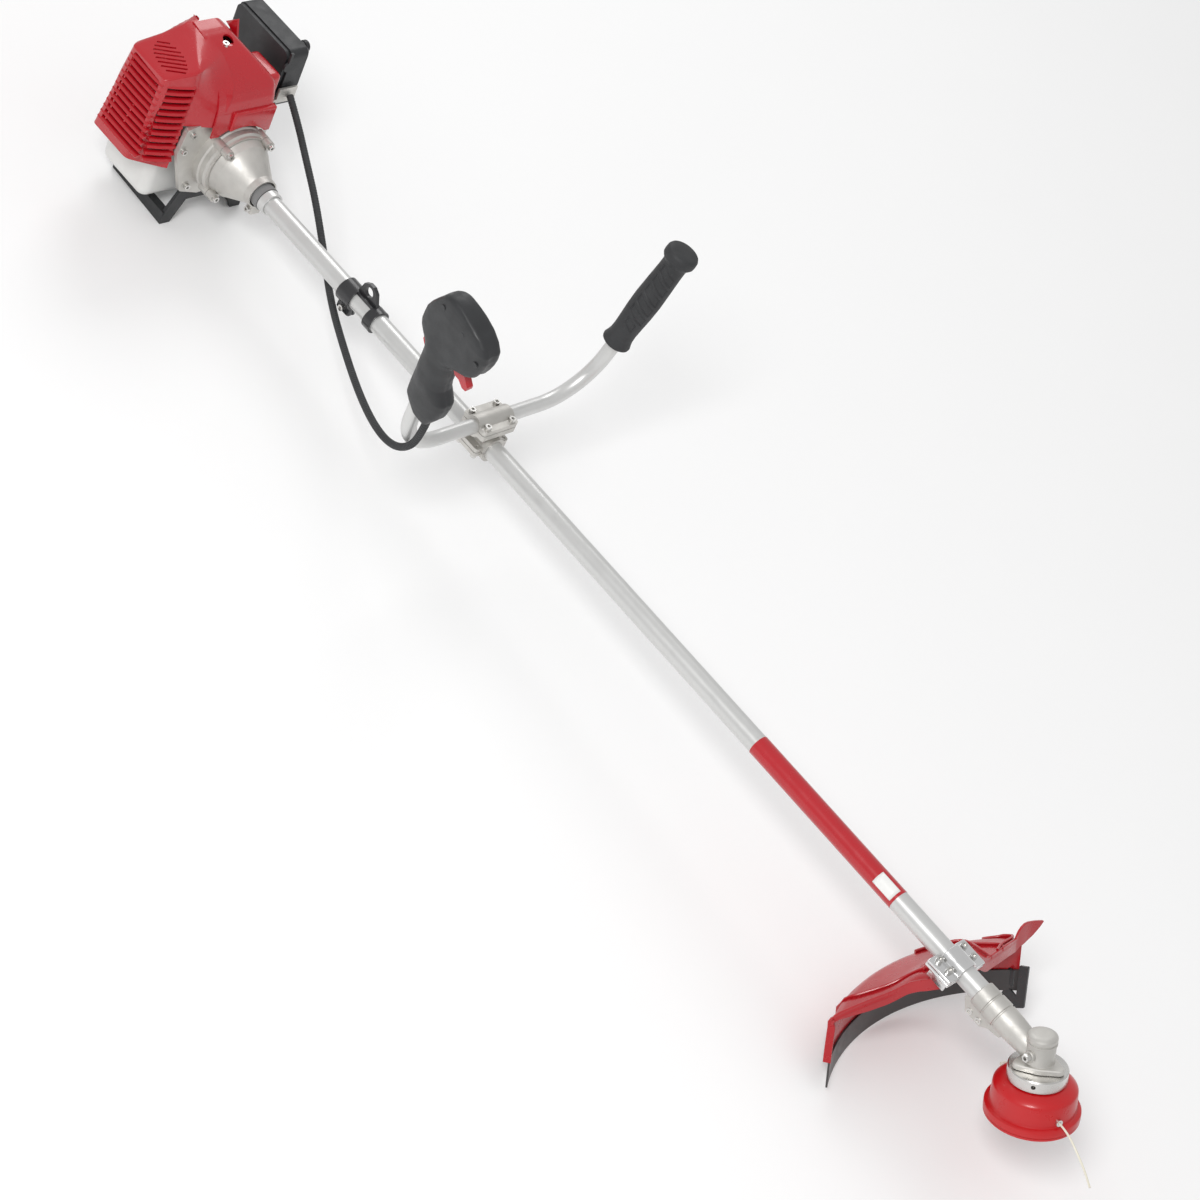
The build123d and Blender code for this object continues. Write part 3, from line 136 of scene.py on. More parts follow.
def centre_line(name, points):
    """Points of the smooth line that a route gives."""
    bare = nurbs(name + "_line", points, 0.0)
    mesh = bpy.data.meshes.new_from_object(bare)
    line = [vertex.co.copy() for vertex in mesh.vertices]
    bpy.data.objects.remove(bare)
    return line


def head_turned(turn, x, y, z):
    """A point in the head's frame after a turn about its axis."""
    a = math.radians(turn)
    return H(x * math.cos(a) - y * math.sin(a), x * math.sin(a) + y * math.cos(a), z)


LINE_ROUTES = {  # turn of the line's eyelet about the head's axis, in degrees, and points of its route
    "front_line": (-20.0, [(82.0, -30.0, -66.0), (96.0, -30.0, -84.0), (103.0, -28.0, -101.0)]),
    "rear_line": (160.0, [(-70.0, 34.0, -60.0), (-66.0, 54.0, -68.0), (-54.0, 70.0, -78.0)]),
}


# ---------------- materials
PATCH_SCALE, SMEAR_SCALE, RELIEF_DEPTH, COAT_ROUGHNESS = 24.0, 60.0, 0.0003, 0.08


def new_material(name, color, metallic=0.0, roughness=0.5):
    """A principled material and its shader."""
    material = bpy.data.materials.new(name)
    material.use_nodes = True
    shader = material.node_tree.nodes["Principled BSDF"]
    shader.inputs["Base Color"].default_value = (*color, 1.0)
    shader.inputs["Metallic"].default_value = metallic
    shader.inputs["Roughness"].default_value = roughness
    return material, shader


def noise(material, scale):
    """Noise over the object's own coordinates."""
    nodes, links = material.node_tree.nodes, material.node_tree.links
    coordinates = nodes.new("ShaderNodeTexCoord")
    texture = nodes.new("ShaderNodeTexNoise")
    texture.inputs["Scale"].default_value = scale
    texture.inputs["Detail"].default_value = 4.0
    texture.inputs["Roughness"].default_value = 0.55
    links.new(coordinates.outputs["Object"], texture.inputs["Vector"])
    return texture.outputs["Fac"]


def ramp(material, factor, stops):
    """Colour ramp with its stops as (position, colour)."""
    node = material.node_tree.nodes.new("ShaderNodeValToRGB")
    elements = node.color_ramp.elements
    while len(elements) < len(stops):
        elements.new(0.5)
    for element, (position, color) in zip(elements, stops):
        element.position = position
        element.color = (*color, 1.0)
    material.node_tree.links.new(factor, node.inputs["Fac"])
    return node.outputs["Color"]


def vary(material, shader, color, scale, spread):
    """Base colour that drifts a little round its own value."""
    low = tuple(c * (1 - spread) for c in color)
    high = tuple(min(1.0, c * (1 + spread)) for c in color)
    out = ramp(material, noise(material, scale), [(0.3, low), (0.7, high)])
    material.node_tree.links.new(out, shader.inputs["Base Color"])


def rough(material, shader, low, high, scale):
    """Roughness between two values, in patches."""
    out = ramp(material, noise(material, scale), [(0.3, (low,) * 3), (0.7, (high,) * 3)])
    material.node_tree.links.new(out, shader.inputs["Roughness"])


def bump(material, shader, scale, strength):
    """Fine relief."""
    node = material.node_tree.nodes.new("ShaderNodeBump")
    node.inputs["Strength"].default_value = strength
    node.inputs["Distance"].default_value = RELIEF_DEPTH
    material.node_tree.links.new(noise(material, scale), node.inputs["Height"])
    material.node_tree.links.new(node.outputs["Normal"], shader.inputs["Normal"])


def finish_material(name, color, metallic, low, high, grain, relief, spread=0.08, coat=0.0):
    """A surface whose colour and roughness drift a little, with a fine relief of its own grain."""
    material, shader = new_material(name, color, metallic, (low + high) / 2)
    vary(material, shader, color, PATCH_SCALE, spread)
    rough(material, shader, low, high, SMEAR_SCALE)
    bump(material, shader, grain, relief)
    if coat:
        shader.inputs["Coat Weight"].default_value = coat
        shader.inputs["Coat Roughness"].default_value = COAT_ROUGHNESS
    return material


LOOKS = {  # name, colour, metallic, least and most roughness, grain, relief, spread of colour, coat
    "shaft": ("shaft_anodised", (0.64, 0.64, 0.63), 0.55, 0.30, 0.40, 900.0, 0.06, 0.02),
    "bar": ("bar_anodised", (0.66, 0.66, 0.65), 0.45, 0.28, 0.42, 900.0, 0.08, 0.03),
    "red": ("red_moulding", (0.46, 0.006, 0.014), 0.0, 0.20, 0.30, 700.0, 0.02, 0.03, 0.45),
    "red_guard": ("red_guard_moulding", (0.42, 0.008, 0.014), 0.0, 0.24, 0.36, 500.0, 0.03, 0.03, 0.25),
    "red_head": ("red_head_moulding", (0.52, 0.005, 0.008), 0.0, 0.26, 0.38, 500.0, 0.03, 0.03, 0.15),
    "black": ("black_moulding", (0.022, 0.023, 0.025), 0.0, 0.38, 0.55, 1500.0, 0.25, 0.2),
    "rubber": ("black_rubber", (0.030, 0.031, 0.033), 0.0, 0.55, 0.72, 1800.0, 0.30, 0.2),
    "tank": ("tank_moulding", (0.74, 0.74, 0.72), 0.0, 0.35, 0.48, 300.0, 0.08, 0.03),
    "cast": ("cast_aluminium", (0.60, 0.585, 0.555), 0.85, 0.42, 0.60, 1100.0, 0.55, 0.10),
    "steel": ("bright_steel", (0.66, 0.65, 0.63), 1.0, 0.18, 0.32, 1200.0, 0.12, 0.06),
    "gear": ("gear_steel", (0.38, 0.38, 0.39), 1.0, 0.28, 0.42, 1200.0, 0.12, 0.08),
    "black_paint": ("black_paint", (0.020, 0.020, 0.022), 0.0, 0.25, 0.40, 900.0, 0.10, 0.1, 0.3),
    "chrome": ("plated_steel", (0.78, 0.78, 0.78), 1.0, 0.12, 0.25, 700.0, 0.06, 0.04),
    "damper": ("damper_rubber", (0.22, 0.22, 0.22), 0.0, 0.5, 0.7, 1500.0, 0.2, 0.1),
    "exhaust": ("heat_stained_steel", (0.09, 0.085, 0.08), 0.7, 0.40, 0.60, 900.0, 0.2, 0.2),
    "skirt": ("skirt_rubber", (0.05, 0.045, 0.045), 0.0, 0.32, 0.45, 900.0, 0.08, 0.1),
    "sticker": ("white_label", (0.85, 0.85, 0.83), 0.0, 0.30, 0.40, 900.0, 0.02, 0.02),
    "foam": ("filter_foam", (0.04, 0.04, 0.04), 0.0, 0.8, 0.95, 2500.0, 1.0, 0.3),
    "nylon": ("nylon_line", (0.78, 0.74, 0.62), 0.0, 0.25, 0.35, 900.0, 0.05, 0.04),
}
MATERIALS = {look: finish_material(*values) for look, values in LOOKS.items()}
SLOT_LOOK = {
    "shaft_paint": "shaft", "red_plastic": "red", "black_plastic": "black", "black_rubber": "rubber",
    "tank_plastic": "tank", "cast_aluminium": "cast", "bright_steel": "steel", "black_paint": "black_paint",
    "chrome_plate": "chrome", "satin_aluminium": "bar", "gear_steel": "gear", "filter_foam": "foam",
    "nylon_line": "nylon",
}
NODE_LOOK = {  # nodes that look different from the rest of their slot
    "handlebar": "bar", "tube_collar": "bar", "rubber_bushes": "damper", "lockout_lever": "red",
    "muffler": "exhaust", "head_cover": "red_head", "handlebar_clamp": "cast", "fan_housing": "cast",
}


def dress(obj, look):
    """Gives a piece one material."""
    obj.data.materials.clear()
    obj.data.materials.append(MATERIALS[look])


for entry in frame["record"]["subparts"]:
    node = NODES[entry["node"]]
    look = NODE_LOOK.get(entry["node"], SLOT_LOOK[entry["material_slot"]])
    if not node.material_slots:
        node.data.materials.append(MATERIALS[look])
    for slot in node.material_slots:
        slot.material = MATERIALS[look]

# ---------------- mesh helpers
def new_mesh(name, vertices, faces, look, smooth=True):
    """A mesh object from plain lists."""
    mesh = bpy.data.meshes.new(name)
    mesh.from_pydata([tuple(v) for v in vertices], [], faces)
    mesh.validate()
    obj = linked(name, mesh)
    if smooth:
        for face in mesh.polygons:
            face.use_smooth = True
    dress(obj, look)
    return obj


def grid_faces(rows, columns, closed=True):
    """Quads between rows of points; each row is a ring if closed."""
    faces = []
    span = columns if closed else columns - 1
    for r in range(rows - 1):
        for c in range(span):
            d = (c + 1) % columns
            faces.append((r * columns + c, r * columns + d, (r + 1) * columns + d, (r + 1) * columns + c))
    return faces


def capped(faces, rows, columns):
    """Adds both end faces to a stack of rings."""
    return faces + [tuple(range(columns))[::-1], tuple((rows - 1) * columns + c for c in range(columns))]


def rings(name, ring_list, look, smooth=True):
    """A closed skin over a stack of rings with equal counts."""
    columns = len(ring_list[0])
    vertices = [v for ring in ring_list for v in ring]
    faces = capped(grid_faces(len(ring_list), columns), len(ring_list), columns)
    return new_mesh(name, vertices, faces, look, smooth)


@contextmanager
def edited(obj):
    """An object's mesh as a bmesh with its faces turned outwards, written back at the end."""
    work = bmesh.new()
    work.from_mesh(obj.data)
    bmesh.ops.recalc_face_normals(work, faces=work.faces)
    yield work
    work.to_mesh(obj.data)
    work.free()


def outward(obj):
    """Turns the faces of a closed mesh outwards."""
    with edited(obj):
        pass


def sharpen(obj, angle):
    """Keeps corners over an angle crisp and the rest smooth."""
    with edited(obj) as work:
        for edge in work.edges:
            if len(edge.link_faces) == 2:
                edge.smooth = edge.calc_face_angle(0.0) < math.radians(angle)


def lerp(table, t):
    """Value at t in a table of (t, value, ...) rows, linear between rows."""
    if t <= table[0][0]:
        return table[0][1:]
    for low, high in zip(table, table[1:]):
        if t <= high[0]:
            k = (t - low[0]) / (high[0] - low[0])
            return tuple(a + (b - a) * k for a, b in zip(low[1:], high[1:]))
    return table[-1][1:]


def circle(middle, side, over, radius, sides):
    """Points of a circle across two unit directions."""
    turns = [2 * math.pi * k / sides for k in range(sides)]
    return [middle + (side * math.cos(a) + over * math.sin(a)) * radius for a in turns]


def smooth_step(low, high, value):
    """0 below low, 1 above high, with an eased rise between."""
    k = min(1.0, max(0.0, (value - low) / (high - low)))
    return k * k * (3 - 2 * k)


# ---------------- throttle cable's conduit
CABLE_ROUTE = [
    RIGHT_ARM @ Vector((0.0230, -0.0010, 0.0916)),
    S(-968.5, -162.0, 80.0),
    S(-985.0, -155.0, 48.0),
    S(-1014.0, -144.0, 22.0),
    S(-1060.0, -124.0, 2.0),
    S(-1125.0, -90.0, -16.0),
    S(-1205.0, -46.0, -29.0),
    S(-1285.0, -4.0, -33.0),
    S(-1352.0, 30.0, -16.0),
    S(-1412.0, 52.0, 12.0),
    S(-1464.0, 68.0, 33.0),
    S(-1512.0, 84.0, 51.0),
    S(-1547.4, 93.0, 64.5),
]


def resample(line, step):
    """Points a fixed step apart along a line."""
    out, gone = [line[0].copy()], 0.0
    for a, b in zip(line, line[1:]):
        run = (b - a).length
        while gone + run >= step * len(out):
            out.append(a.lerp(b, (step * len(out) - gone) / run))
        gone += run
    return out


def make_line(name, turn, route):
    """One end of the trimmer line, from its eyelet to its cut tip."""
    points = [head_turned(turn, 47.0, 0.0, -53.0), head_turned(turn, 66.0, 0.0, -54.0)]
    points += [H(*p) for p in route]
    path = centre_line(name, points)
    line = tube("trimmer_" + name, path, 0.0012, "nylon")
    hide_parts(name)
    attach(line, "cutting_head")


def tube(name, path, radius, look, sides=16):
    """A round tube along a path."""
    ring_list = []
    over = Vector((0, 0, 1))
    for index, dot in enumerate(path):
        ahead = (path[min(index + 1, len(path) - 1)] - path[max(index - 1, 0)]).normalized()
        across = over.cross(ahead).normalized()
        over = ahead.cross(across)
        ring_list.append(circle(dot, across, over, radius, sides))
    return rings(name, ring_list, look)


CONDUIT_STEP = 0.00125
CONDUIT_RADII = (4.75, 4.75, 4.15)
CONDUIT_END_RADIUS, CONDUIT_END_RINGS = 4.7, 6
CONDUIT_SIDES, SLIT_SIDE, SLIT_DEPTH = 20, 3, 0.35


def make_conduit():
    """Corrugated conduit: two rings at full radius, then one in the groove, with a slit along it."""
    line = centre_line("conduit", CABLE_ROUTE)
    dots = resample(line, CONDUIT_STEP)
    ring_list = []
    up = Vector((0, 0, 1))
    for index, dot in enumerate(dots):
        ahead = dots[min(index + 1, len(dots) - 1)] - dots[max(index - 1, 0)]
        ahead.normalize()
        across = ahead.cross(up).normalized()
        over = across.cross(ahead)
        radius = CONDUIT_RADII[index % 3]
        if index < CONDUIT_END_RINGS or index >= len(dots) - CONDUIT_END_RINGS:
            radius = CONDUIT_END_RADIUS
        ring = circle(dot, across, over, radius * MM, CONDUIT_SIDES)
        ring[SLIT_SIDE] = ring[SLIT_SIDE].lerp(dot, SLIT_DEPTH / radius)
        ring_list.append(ring)
    conduit = rings("cable_conduit", ring_list, "rubber", smooth=False)
    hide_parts("throttle_cable")
    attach(conduit, "machine")


make_conduit()
for name, (turn, route) in LINE_ROUTES.items():
    make_line(name, turn, route)

# ---------------- left grip
GRIP_PROFILE = [
    (89, 16.5), (90.5, 18.4), (93, 18.9), (97, 17.6), (103, 16.2), (112, 15.8), (125, 16.4),
    (145, 17.6), (165, 18), (190, 17.2), (212, 16.3), (224, 16.2), (228, 16.8), (231, 19.2),
    (234, 21.2), (238, 21.6), (243, 21.2), (246, 19.6), (247.4, 16), (247.8, 8),
]
PAD_FIRST = 122.0
PAD_PITCH = 16.5
PAD_COUNT = 6
GRIP_BORE = 9.6
GRIP_SIDES, GRIP_ROWS = 160, 300
PAD_FACINGS = (math.radians(-60), math.radians(120))


def pad_depth(angle, t, facing):
    """Depth of the recessed pads: slanting bars on one side of the grip."""
    offset = (angle - facing + math.pi) % (2 * math.pi) - math.pi
    arc = offset * 17.0
    if abs(arc) > 15.0:
        return 0.0
    along = t - PAD_FIRST + arc * 0.45
    index = math.floor(along / PAD_PITCH)
    if index < 0 or index >= PAD_COUNT:
        return 0.0
    place = along - index * PAD_PITCH
    reach = 13.0 if index else 8.0
    inside = min(place - 2, PAD_PITCH - 2.0 - place, reach - abs(arc))
    groove = smooth_step(0, 0.7, inside) - 0.45 * smooth_step(1.6, 2.6, inside)
    return 1.1 * groove


def grip_ring(t, radius, padded):
    """One ring of the grip, t millimetres up the arm."""
    ring = []
    for k in range(GRIP_SIDES):
        a = 2 * math.pi * k / GRIP_SIDES
        depth = sum(pad_depth(a, t, facing) for facing in PAD_FACINGS) if padded else 0.0
        r = (radius - depth) * MM
        ring.append(LEFT_ARM @ Vector((r * math.cos(a), r * math.sin(a), t * MM)))
    return ring


def make_grip():
    """Left grip: its bore from the closed end down, then its outside from the foot up."""
    start, end = GRIP_PROFILE[0][0], GRIP_PROFILE[-1][0]
    ring_list = [grip_ring(end - 8, GRIP_BORE, False), grip_ring(start, GRIP_BORE, False)]
    for r in range(GRIP_ROWS):
        t = start + (end - start) * r / (GRIP_ROWS - 1)
        ring_list.append(grip_ring(t, lerp(GRIP_PROFILE, t)[0], True))
    grip = rings("left_grip_moulding", ring_list, "rubber")
    sharpen(grip, 50)
    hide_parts("left_grip")
    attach(grip, "machine")


make_grip()

# ---------------- throttle handle
HANDLE_EDGE = [
    # distance up the arm, rear edge, front edge, half thickness, squareness
    (92, 5, 28, 12, 4), (94, 3, 30, 13.5, 4), (104, -10, 35, 15, 3.6),
    (110, -16, 38, 15.5, 3.4), (128, -17, 41, 16, 3.2), (137, -17, 41, 16.5, 3),
    (143, -17, 37, 17, 2.8), (152, -17, 30, 17.5, 2.5), (162, -17.5, 28, 17.8, 2.4),
    (178, -17.5, 28.5, 17.6, 2.4), (190, -17.5, 28, 17, 2.6), (199, -19, 30, 16.6, 3),
    (205, -24, 38, 16.2, 3.6), (210, -28.5, 47, 16, 4.2), (215, -32, 57, 16, 4.6),
    (222, -34, 63, 16, 5), (232, -34, 66.5, 16, 5), (242, -33.5, 69, 16, 5),
    (252, -30, 70, 16, 5), (262, -25, 69, 16, 5), (270, -20.5, 63, 15.6, 4.8),
    (277, -16, 53, 15, 4.6), (282, -11, 39, 14, 4.4), (286, -4, 22, 12, 4),
    (287.5, 3, 12, 8, 3),
]


def make_handle():
    """Both halves of the throttle handle as one shell, with a seam round its middle."""
    sides, rows = 96, 190
    low, high = HANDLE_EDGE[0][0], HANDLE_EDGE[-1][0]
    ring_list = []
    for r in range(rows):
        t = low + (high - low) * r / (rows - 1)
        rear, front, half, power = lerp(HANDLE_EDGE, t)
        middle, reach = (rear + front) / 2, (front - rear) / 2
        ring = []
        for k in range(sides):
            a = 2 * math.pi * k / sides
            c, s = math.cos(a), math.sin(a)
            x = math.copysign(abs(c) ** (2 / power), c) * reach
            y = math.copysign(abs(s) ** (2 / power), s) * half
            seam = 0.965 if k in (0, sides // 2) else 1.0
            ring.append(RIGHT_ARM @ Vector(((middle + x * seam) * MM, y * MM, t * MM)))
        ring_list.append(ring)
    handle = rings("throttle_handle_shell", ring_list, "black")
    smoother = handle.modifiers.new("soften", "SMOOTH")
    smoother.iterations = 2
    smoother.factor = 0.35
    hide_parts("throttle_handle_outer", "throttle_handle_inner")
    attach(handle, "machine")


make_handle()

# ---------------- engine covers
def settle(obj):
    """Bakes an object's modifiers into its mesh."""
    depsgraph = bpy.context.evaluated_depsgraph_get()
    mesh = bpy.data.meshes.new_from_object(obj.evaluated_get(depsgraph))
    materials = list(obj.data.materials)
    obj.modifiers.clear()
    obj.data = mesh
    obj.data.materials.clear()
    for material in materials:
        obj.data.materials.append(material)


def cut(obj, cutters):
    """Takes a list of closed cutter objects out of a piece."""
    for cutter in cutters:
        outward(cutter)
        boolean = obj.modifiers.new("cut", "BOOLEAN")
        boolean.operation = "DIFFERENCE"
        boolean.solver = "EXACT"
        boolean.object = cutter
    bpy.context.view_layer.update()
    settle(obj)
    for cutter in cutters:
        bpy.data.objects.remove(cutter)


def solid_box(name, place, size, look="red"):
    """Closed box: place is its frame, size its full extents in millimetres."""
    x, y, z = (v * MM / 2 for v in size)
    corners = [Vector((a * x, b * y, c * z)) for a in (-1, 1) for b in (-1, 1) for c in (-1, 1)]
    faces = [(0, 1, 3, 2), (4, 6, 7, 5), (0, 4, 5, 1), (2, 3, 7, 6), (0, 2, 6, 4), (1, 5, 7, 3)]
    return new_mesh(name, [place @ c for c in corners], faces, look, smooth=False)


def solid_rod(start, end, radius, sides=48):
    """Closed cylinder for cutting, between two points; radius in millimetres."""
    ahead = (end - start).normalized()
    side = ahead.orthogonal().normalized()
    over = ahead.cross(side)
    ring_list = [circle(middle, side, over, radius * MM, sides) for middle in (start, end)]
    return rings("cutter", ring_list, "red", smooth=False)


def soft_min(values, k):
    """Smallest of several distances, rounded where they meet."""
    low = min(values)
    return low - k * math.log(sum(math.exp(-(v - low) / k) for v in values))


REAR_FOOT, REAR_LEAN = -1650, 27.0 / 145.0


def rear_x(z):
    """Rear wall of both covers: it leans forward with height."""
    return REAR_FOOT + REAR_LEAN * (z + 12)


SHROUD = [  # front of the engine cover: height, station
    (40, -1523.5), (60, -1524), (80, -1525.5), (92, -1528.5), (103, -1533),
    (113, -1539), (122, -1546.5), (131, -1555), (138, -1562.5), (144, -1570.5),
    (149, -1579), (153, -1589), (156, -1601), (158, -1615),
]
CREASE = [  # where the muffler guard's flank ends on the engine cover: height, y
    (-14, -54), (46, -49), (56, -43), (76, -38), (91, -31), (107, -25),
    (118, -23), (129, -26), (143, -31), (152, -37), (158, -42),
]
GUARD_SIDE_Y, FACET_FOOT, FACET_TOP, FACET_RUN = -126, 129, 157.5, 84.0
FRONT_WALL = Vector((0.948, -0.3185))
FRONT_WALL_FOOT = Vector((-1554.5, GUARD_SIDE_Y))
REAR_CORNER = Vector((-0.894, -0.447))
COVER_SWELL, SECTION_ROUND = 9.0, 2.6
FLANK_FRONT, FLANK_DRAW = (-1541, -84), (-78, 40)
ROOF_FOOT, ROOF_RISE = 143, 14.5
SECTION_X, SECTION_Y, SECTION_SHIFT = -1590, -33, 40


def guard_ring(z, columns):
    """Open plan section of the muffler guard, from its rear inner edge round to the crease."""
    outer = GUARD_SIDE_Y
    if z > FACET_FOOT:
        outer += (z - FACET_FOOT) / (FACET_TOP - FACET_FOOT) * FACET_RUN
    edge_y = lerp(CREASE, z)[0]
    edge_x = lerp(SHROUD, z)[0] + 1.8
    climb = max(0, (z - ROOF_FOOT) / ROOF_RISE)
    front_x = FLANK_FRONT[0] + min(0, (z - 40) * 0.06) + FLANK_DRAW[0] * climb
    front_end = Vector((front_x, FLANK_FRONT[1] + FLANK_DRAW[1] * climb))
    crease = Vector((edge_x, edge_y))
    middle = Vector((SECTION_X - SECTION_SHIFT * smooth_step(115, 156, z), SECTION_Y))
    flank = (crease - front_end).normalized()
    flank_out = Vector((abs(flank.y), -flank.x))
    swell = COVER_SWELL * smooth_step(55, 105, z) * (1.0 - smooth_step(118, 150, z))
    walls = [
        (Vector((0, -1)), -outer),
        (Vector((-1, 0)), swell - rear_x(z)),
        (REAR_CORNER, REAR_CORNER.dot(Vector((rear_x(z), outer)))),
        (FRONT_WALL, FRONT_WALL.dot(FRONT_WALL_FOOT)),
    ]
    if climb < 0.8:
        walls.append((flank_out, flank_out.dot(crease)))
    last = math.atan2(crease.y - middle.y, crease.x - middle.x)
    ring = []
    for c in range(columns):
        angle = -math.pi + (math.pi + last) * c / (columns - 1)
        way = Vector((math.cos(angle), math.sin(angle)))
        hits = []
        for normal, offset in walls:
            if normal.dot(way) > 0.02:
                hits.append((offset - normal.dot(middle)) / normal.dot(way))
        reach = max(1.5, soft_min(hits, SECTION_ROUND))
        ring.append(middle + way * reach)
    return ring


def grid_piece(name, rows, look, inside):
    """Open grid surface from rows of equal length, facing away from the point inside."""
    columns = len(rows[0])
    faces = grid_faces(len(rows), columns, closed=False)
    obj = new_mesh(name, [v for row in rows for v in row], faces, look)
    facing = sum(f.normal.dot(f.center - inside) * f.area for f in obj.data.polygons)
    if facing < 0:
        obj.data.flip_normals()
    return obj


def even_columns(points, count):
    """The same line with its points evenly spaced."""
    lengths = [0]
    for a, b in zip(points, points[1:]):
        lengths.append(lengths[-1] + (b - a).length)
    out = []
    for k in range(count):
        goal = lengths[-1] * k / (count - 1)
        index = max(i for i in range(len(lengths)) if lengths[i] <= goal + 1e-9)
        index = min(index, len(points) - 2)
        run = lengths[index + 1] - lengths[index]
        share = (goal - lengths[index]) / run if run > 1e-9 else 0.0
        out.append(points[index].lerp(points[index + 1], min(1, share)))
    return out


def thicken(obj, thickness):
    """Gives an open shell its wall, inwards."""
    solid = obj.modifiers.new("wall", "SOLIDIFY")
    solid.thickness = thickness * MM
    solid.offset = -1.0
    bpy.context.view_layer.update()
    settle(obj)
    outward(obj)


COVER_WALL, COVER_CREASE = 2.6, 38.0
SIDE_SLATS = 12
SLAT_PITCH = 10.6
SLAT_FOOT = 3.0


def slat(start, end):
    """A louvre: a flat bar with a rounded front edge, bowed a little outwards."""
    count, lean = 15, 0.35
    ring_list = []
    across = (end - start).normalized()
    out = across.cross(Vector((0, 0, 1))).normalized()
    if out.y > 0:
        out = -out
    for r in range(count):
        t = r / (count - 1)
        middle = start.lerp(end, t) + out * 1.6 * math.sin(math.pi * t) ** 0.5
        ring = []
        for k in range(12):
            a = 2 * math.pi * k / 12
            reach, rise = 3.8 * math.cos(a), 2.1 * math.sin(a)
            ring.append(middle + out * (reach - 2.6) + Vector((0, 0, 1)) * (rise - reach * lean))
        ring_list.append([S(*p) for p in ring])
    return rings("slat", ring_list, "red")


def join(target, parts):
    """Joins meshes into one piece."""
    work = bmesh.new()
    for obj in [target] + parts:
        work.from_mesh(obj.data)
    work.to_mesh(target.data)
    work.free()
    for obj in parts:
        bpy.data.objects.remove(obj)
    for face in target.data.polygons:
        face.material_index = 0


ROOF_SLOTS = (16, 26, 33, 36, 36, 35, 32, 24)
SIDE_WINDOW = [(-44, -60), (26, -60), (33, 62), (-22, 66)]
FRONT_WINDOW = [(-13, -61), (13, -61), (20, 58), (-13, 58)]
WINDOW_DEPTH = 14.0
FAN_BORE = 55.5


def guard_cutters():
    """Openings of the muffler guard: windows, roof slots and room for the crankcase and its plate."""
    side = at(SHAFT, -1594, GUARD_SIDE_Y, 60)
    turn = Matrix.Rotation(math.atan2(-FRONT_WALL.y, FRONT_WALL.x), 4, "Z")
    front = at(SHAFT, -1547.5, -103.5, 62) @ turn @ Matrix.Rotation(math.pi / 2, 4, "Z")
    cutters = [window(side, SIDE_WINDOW), window(front, FRONT_WINDOW)]
    for index, length in enumerate(ROOF_SLOTS):
        t = index / (len(ROOF_SLOTS) - 1)
        place = at(SHAFT, -1607.0 + 48.0 * t, -93.5 - 13.5 * t, 142) @ Matrix.Rotation(math.pi / 4, 4, "Z")
        cutters.append(solid_box("cutter", place, (length, 2.6, 40)))
    cutters.append(solid_rod(S(-1533, 0, 0), S(-1733, 0, 0), FAN_BORE))
    for plate_y, plate_z in ((-70, 48), (-77, 23)):
        cutters.append(solid_rod(S(-1500, plate_y, plate_z), S(-1545, plate_y, plate_z), 8.5))
    cutters.append(solid_box("cutter", at(SHAFT, -1530, -55, 17), (40, 56, 82)))
    return cutters


def guard_slats():
    """Louvres of both windows and the two ribs behind them."""
    slats = []
    for index in range(SIDE_SLATS):
        z = SLAT_FOOT + SLAT_PITCH * index
        slats.append(slat(Vector((rear_x(z) + 3, -125.5, z)), Vector((-1559.5 + 0.04 * z, -125.5, z))))
        slats.append(slat(Vector((-1553.5, -120, z)), Vector((-1541, -83, z))))
    for x, low, high in ((-1632, -4, 128), (-1600, 24, 60)):
        top = x + 4.0 + 12.0 * (high - low) / 132.0
        slats.append(upright_bar(Vector((x, -124.4, low)), Vector((top, -124.4, high))))
    return slats


def make_muffler_guard():
    """Louvred cover on the engine's right side."""
    heights = [-13, -12.4, -11] + [-6.0 + 9.0 * k for k in range(15)]
    heights += [124, 126.5, 128.5, 130, 131.5, 133.5] + [136.0 + 2.0 * k for k in range(10)]
    rows = []
    for z in heights:
        ring = even_columns(guard_ring(z, 260), 150)
        rows.append([S(p.x, p.y, z) for p in ring])
    crown = S(-1618, -38, 157.3)
    rows.append([v.lerp(crown, 0.5) for v in rows[-1]])
    rows.append([v.lerp(crown, 0.96) for v in rows[-2]])
    shell = grid_piece("muffler_guard_shell", rows, "red", S(-1590, -40, 60))
    thicken(shell, COVER_WALL)
    cut(shell, guard_cutters())
    join(shell, guard_slats())
    sharpen(shell, COVER_CREASE)
    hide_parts("muffler_guard")
    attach(shell, "machine")


def upright_bar(start, end):
    """A flat upright rib behind the louvres."""
    ring_list = []
    for middle in (start, end):
        ring = []
        for dx, dy in ((-1.2, 0), (1.2, 0), (1.2, 5), (-1.2, 5)):
            ring.append(S(middle.x + dx, middle.y + dy, middle.z))
        ring_list.append(ring)
    return rings("bar", ring_list, "red", smooth=False)


def window(place, corners):
    """Cutter for an opening with rounded corners, in the x-z plane of its place."""
    outline = rounded([Vector(c) for c in corners], 4)
    ring_list = []
    for y in (-WINDOW_DEPTH, WINDOW_DEPTH):
        ring_list.append([place @ (Vector((p.x, y, p.y)) * MM) for p in outline])
    return rings("cutter", ring_list, "red", smooth=False)


def rounded(points, radius, steps=6):
    """Closed outline with its corners rounded."""
    out = []
    for before, corner, after in zip(points[-1:] + points[:-1], points, points[1:] + points[:1]):
        to_before = (before - corner).normalized()
        to_after = (after - corner).normalized()
        half = to_before.angle(to_after) / 2
        back = min(radius / math.tan(half), 0.45 * min((before - corner).length, (after - corner).length))
        for k in range(steps + 1):
            t = k / steps
            a, b = corner + to_before * back, corner + to_after * back
            out.append(a * (1 - t) ** 2 + corner * 2 * t * (1 - t) + b * t ** 2)
    return out


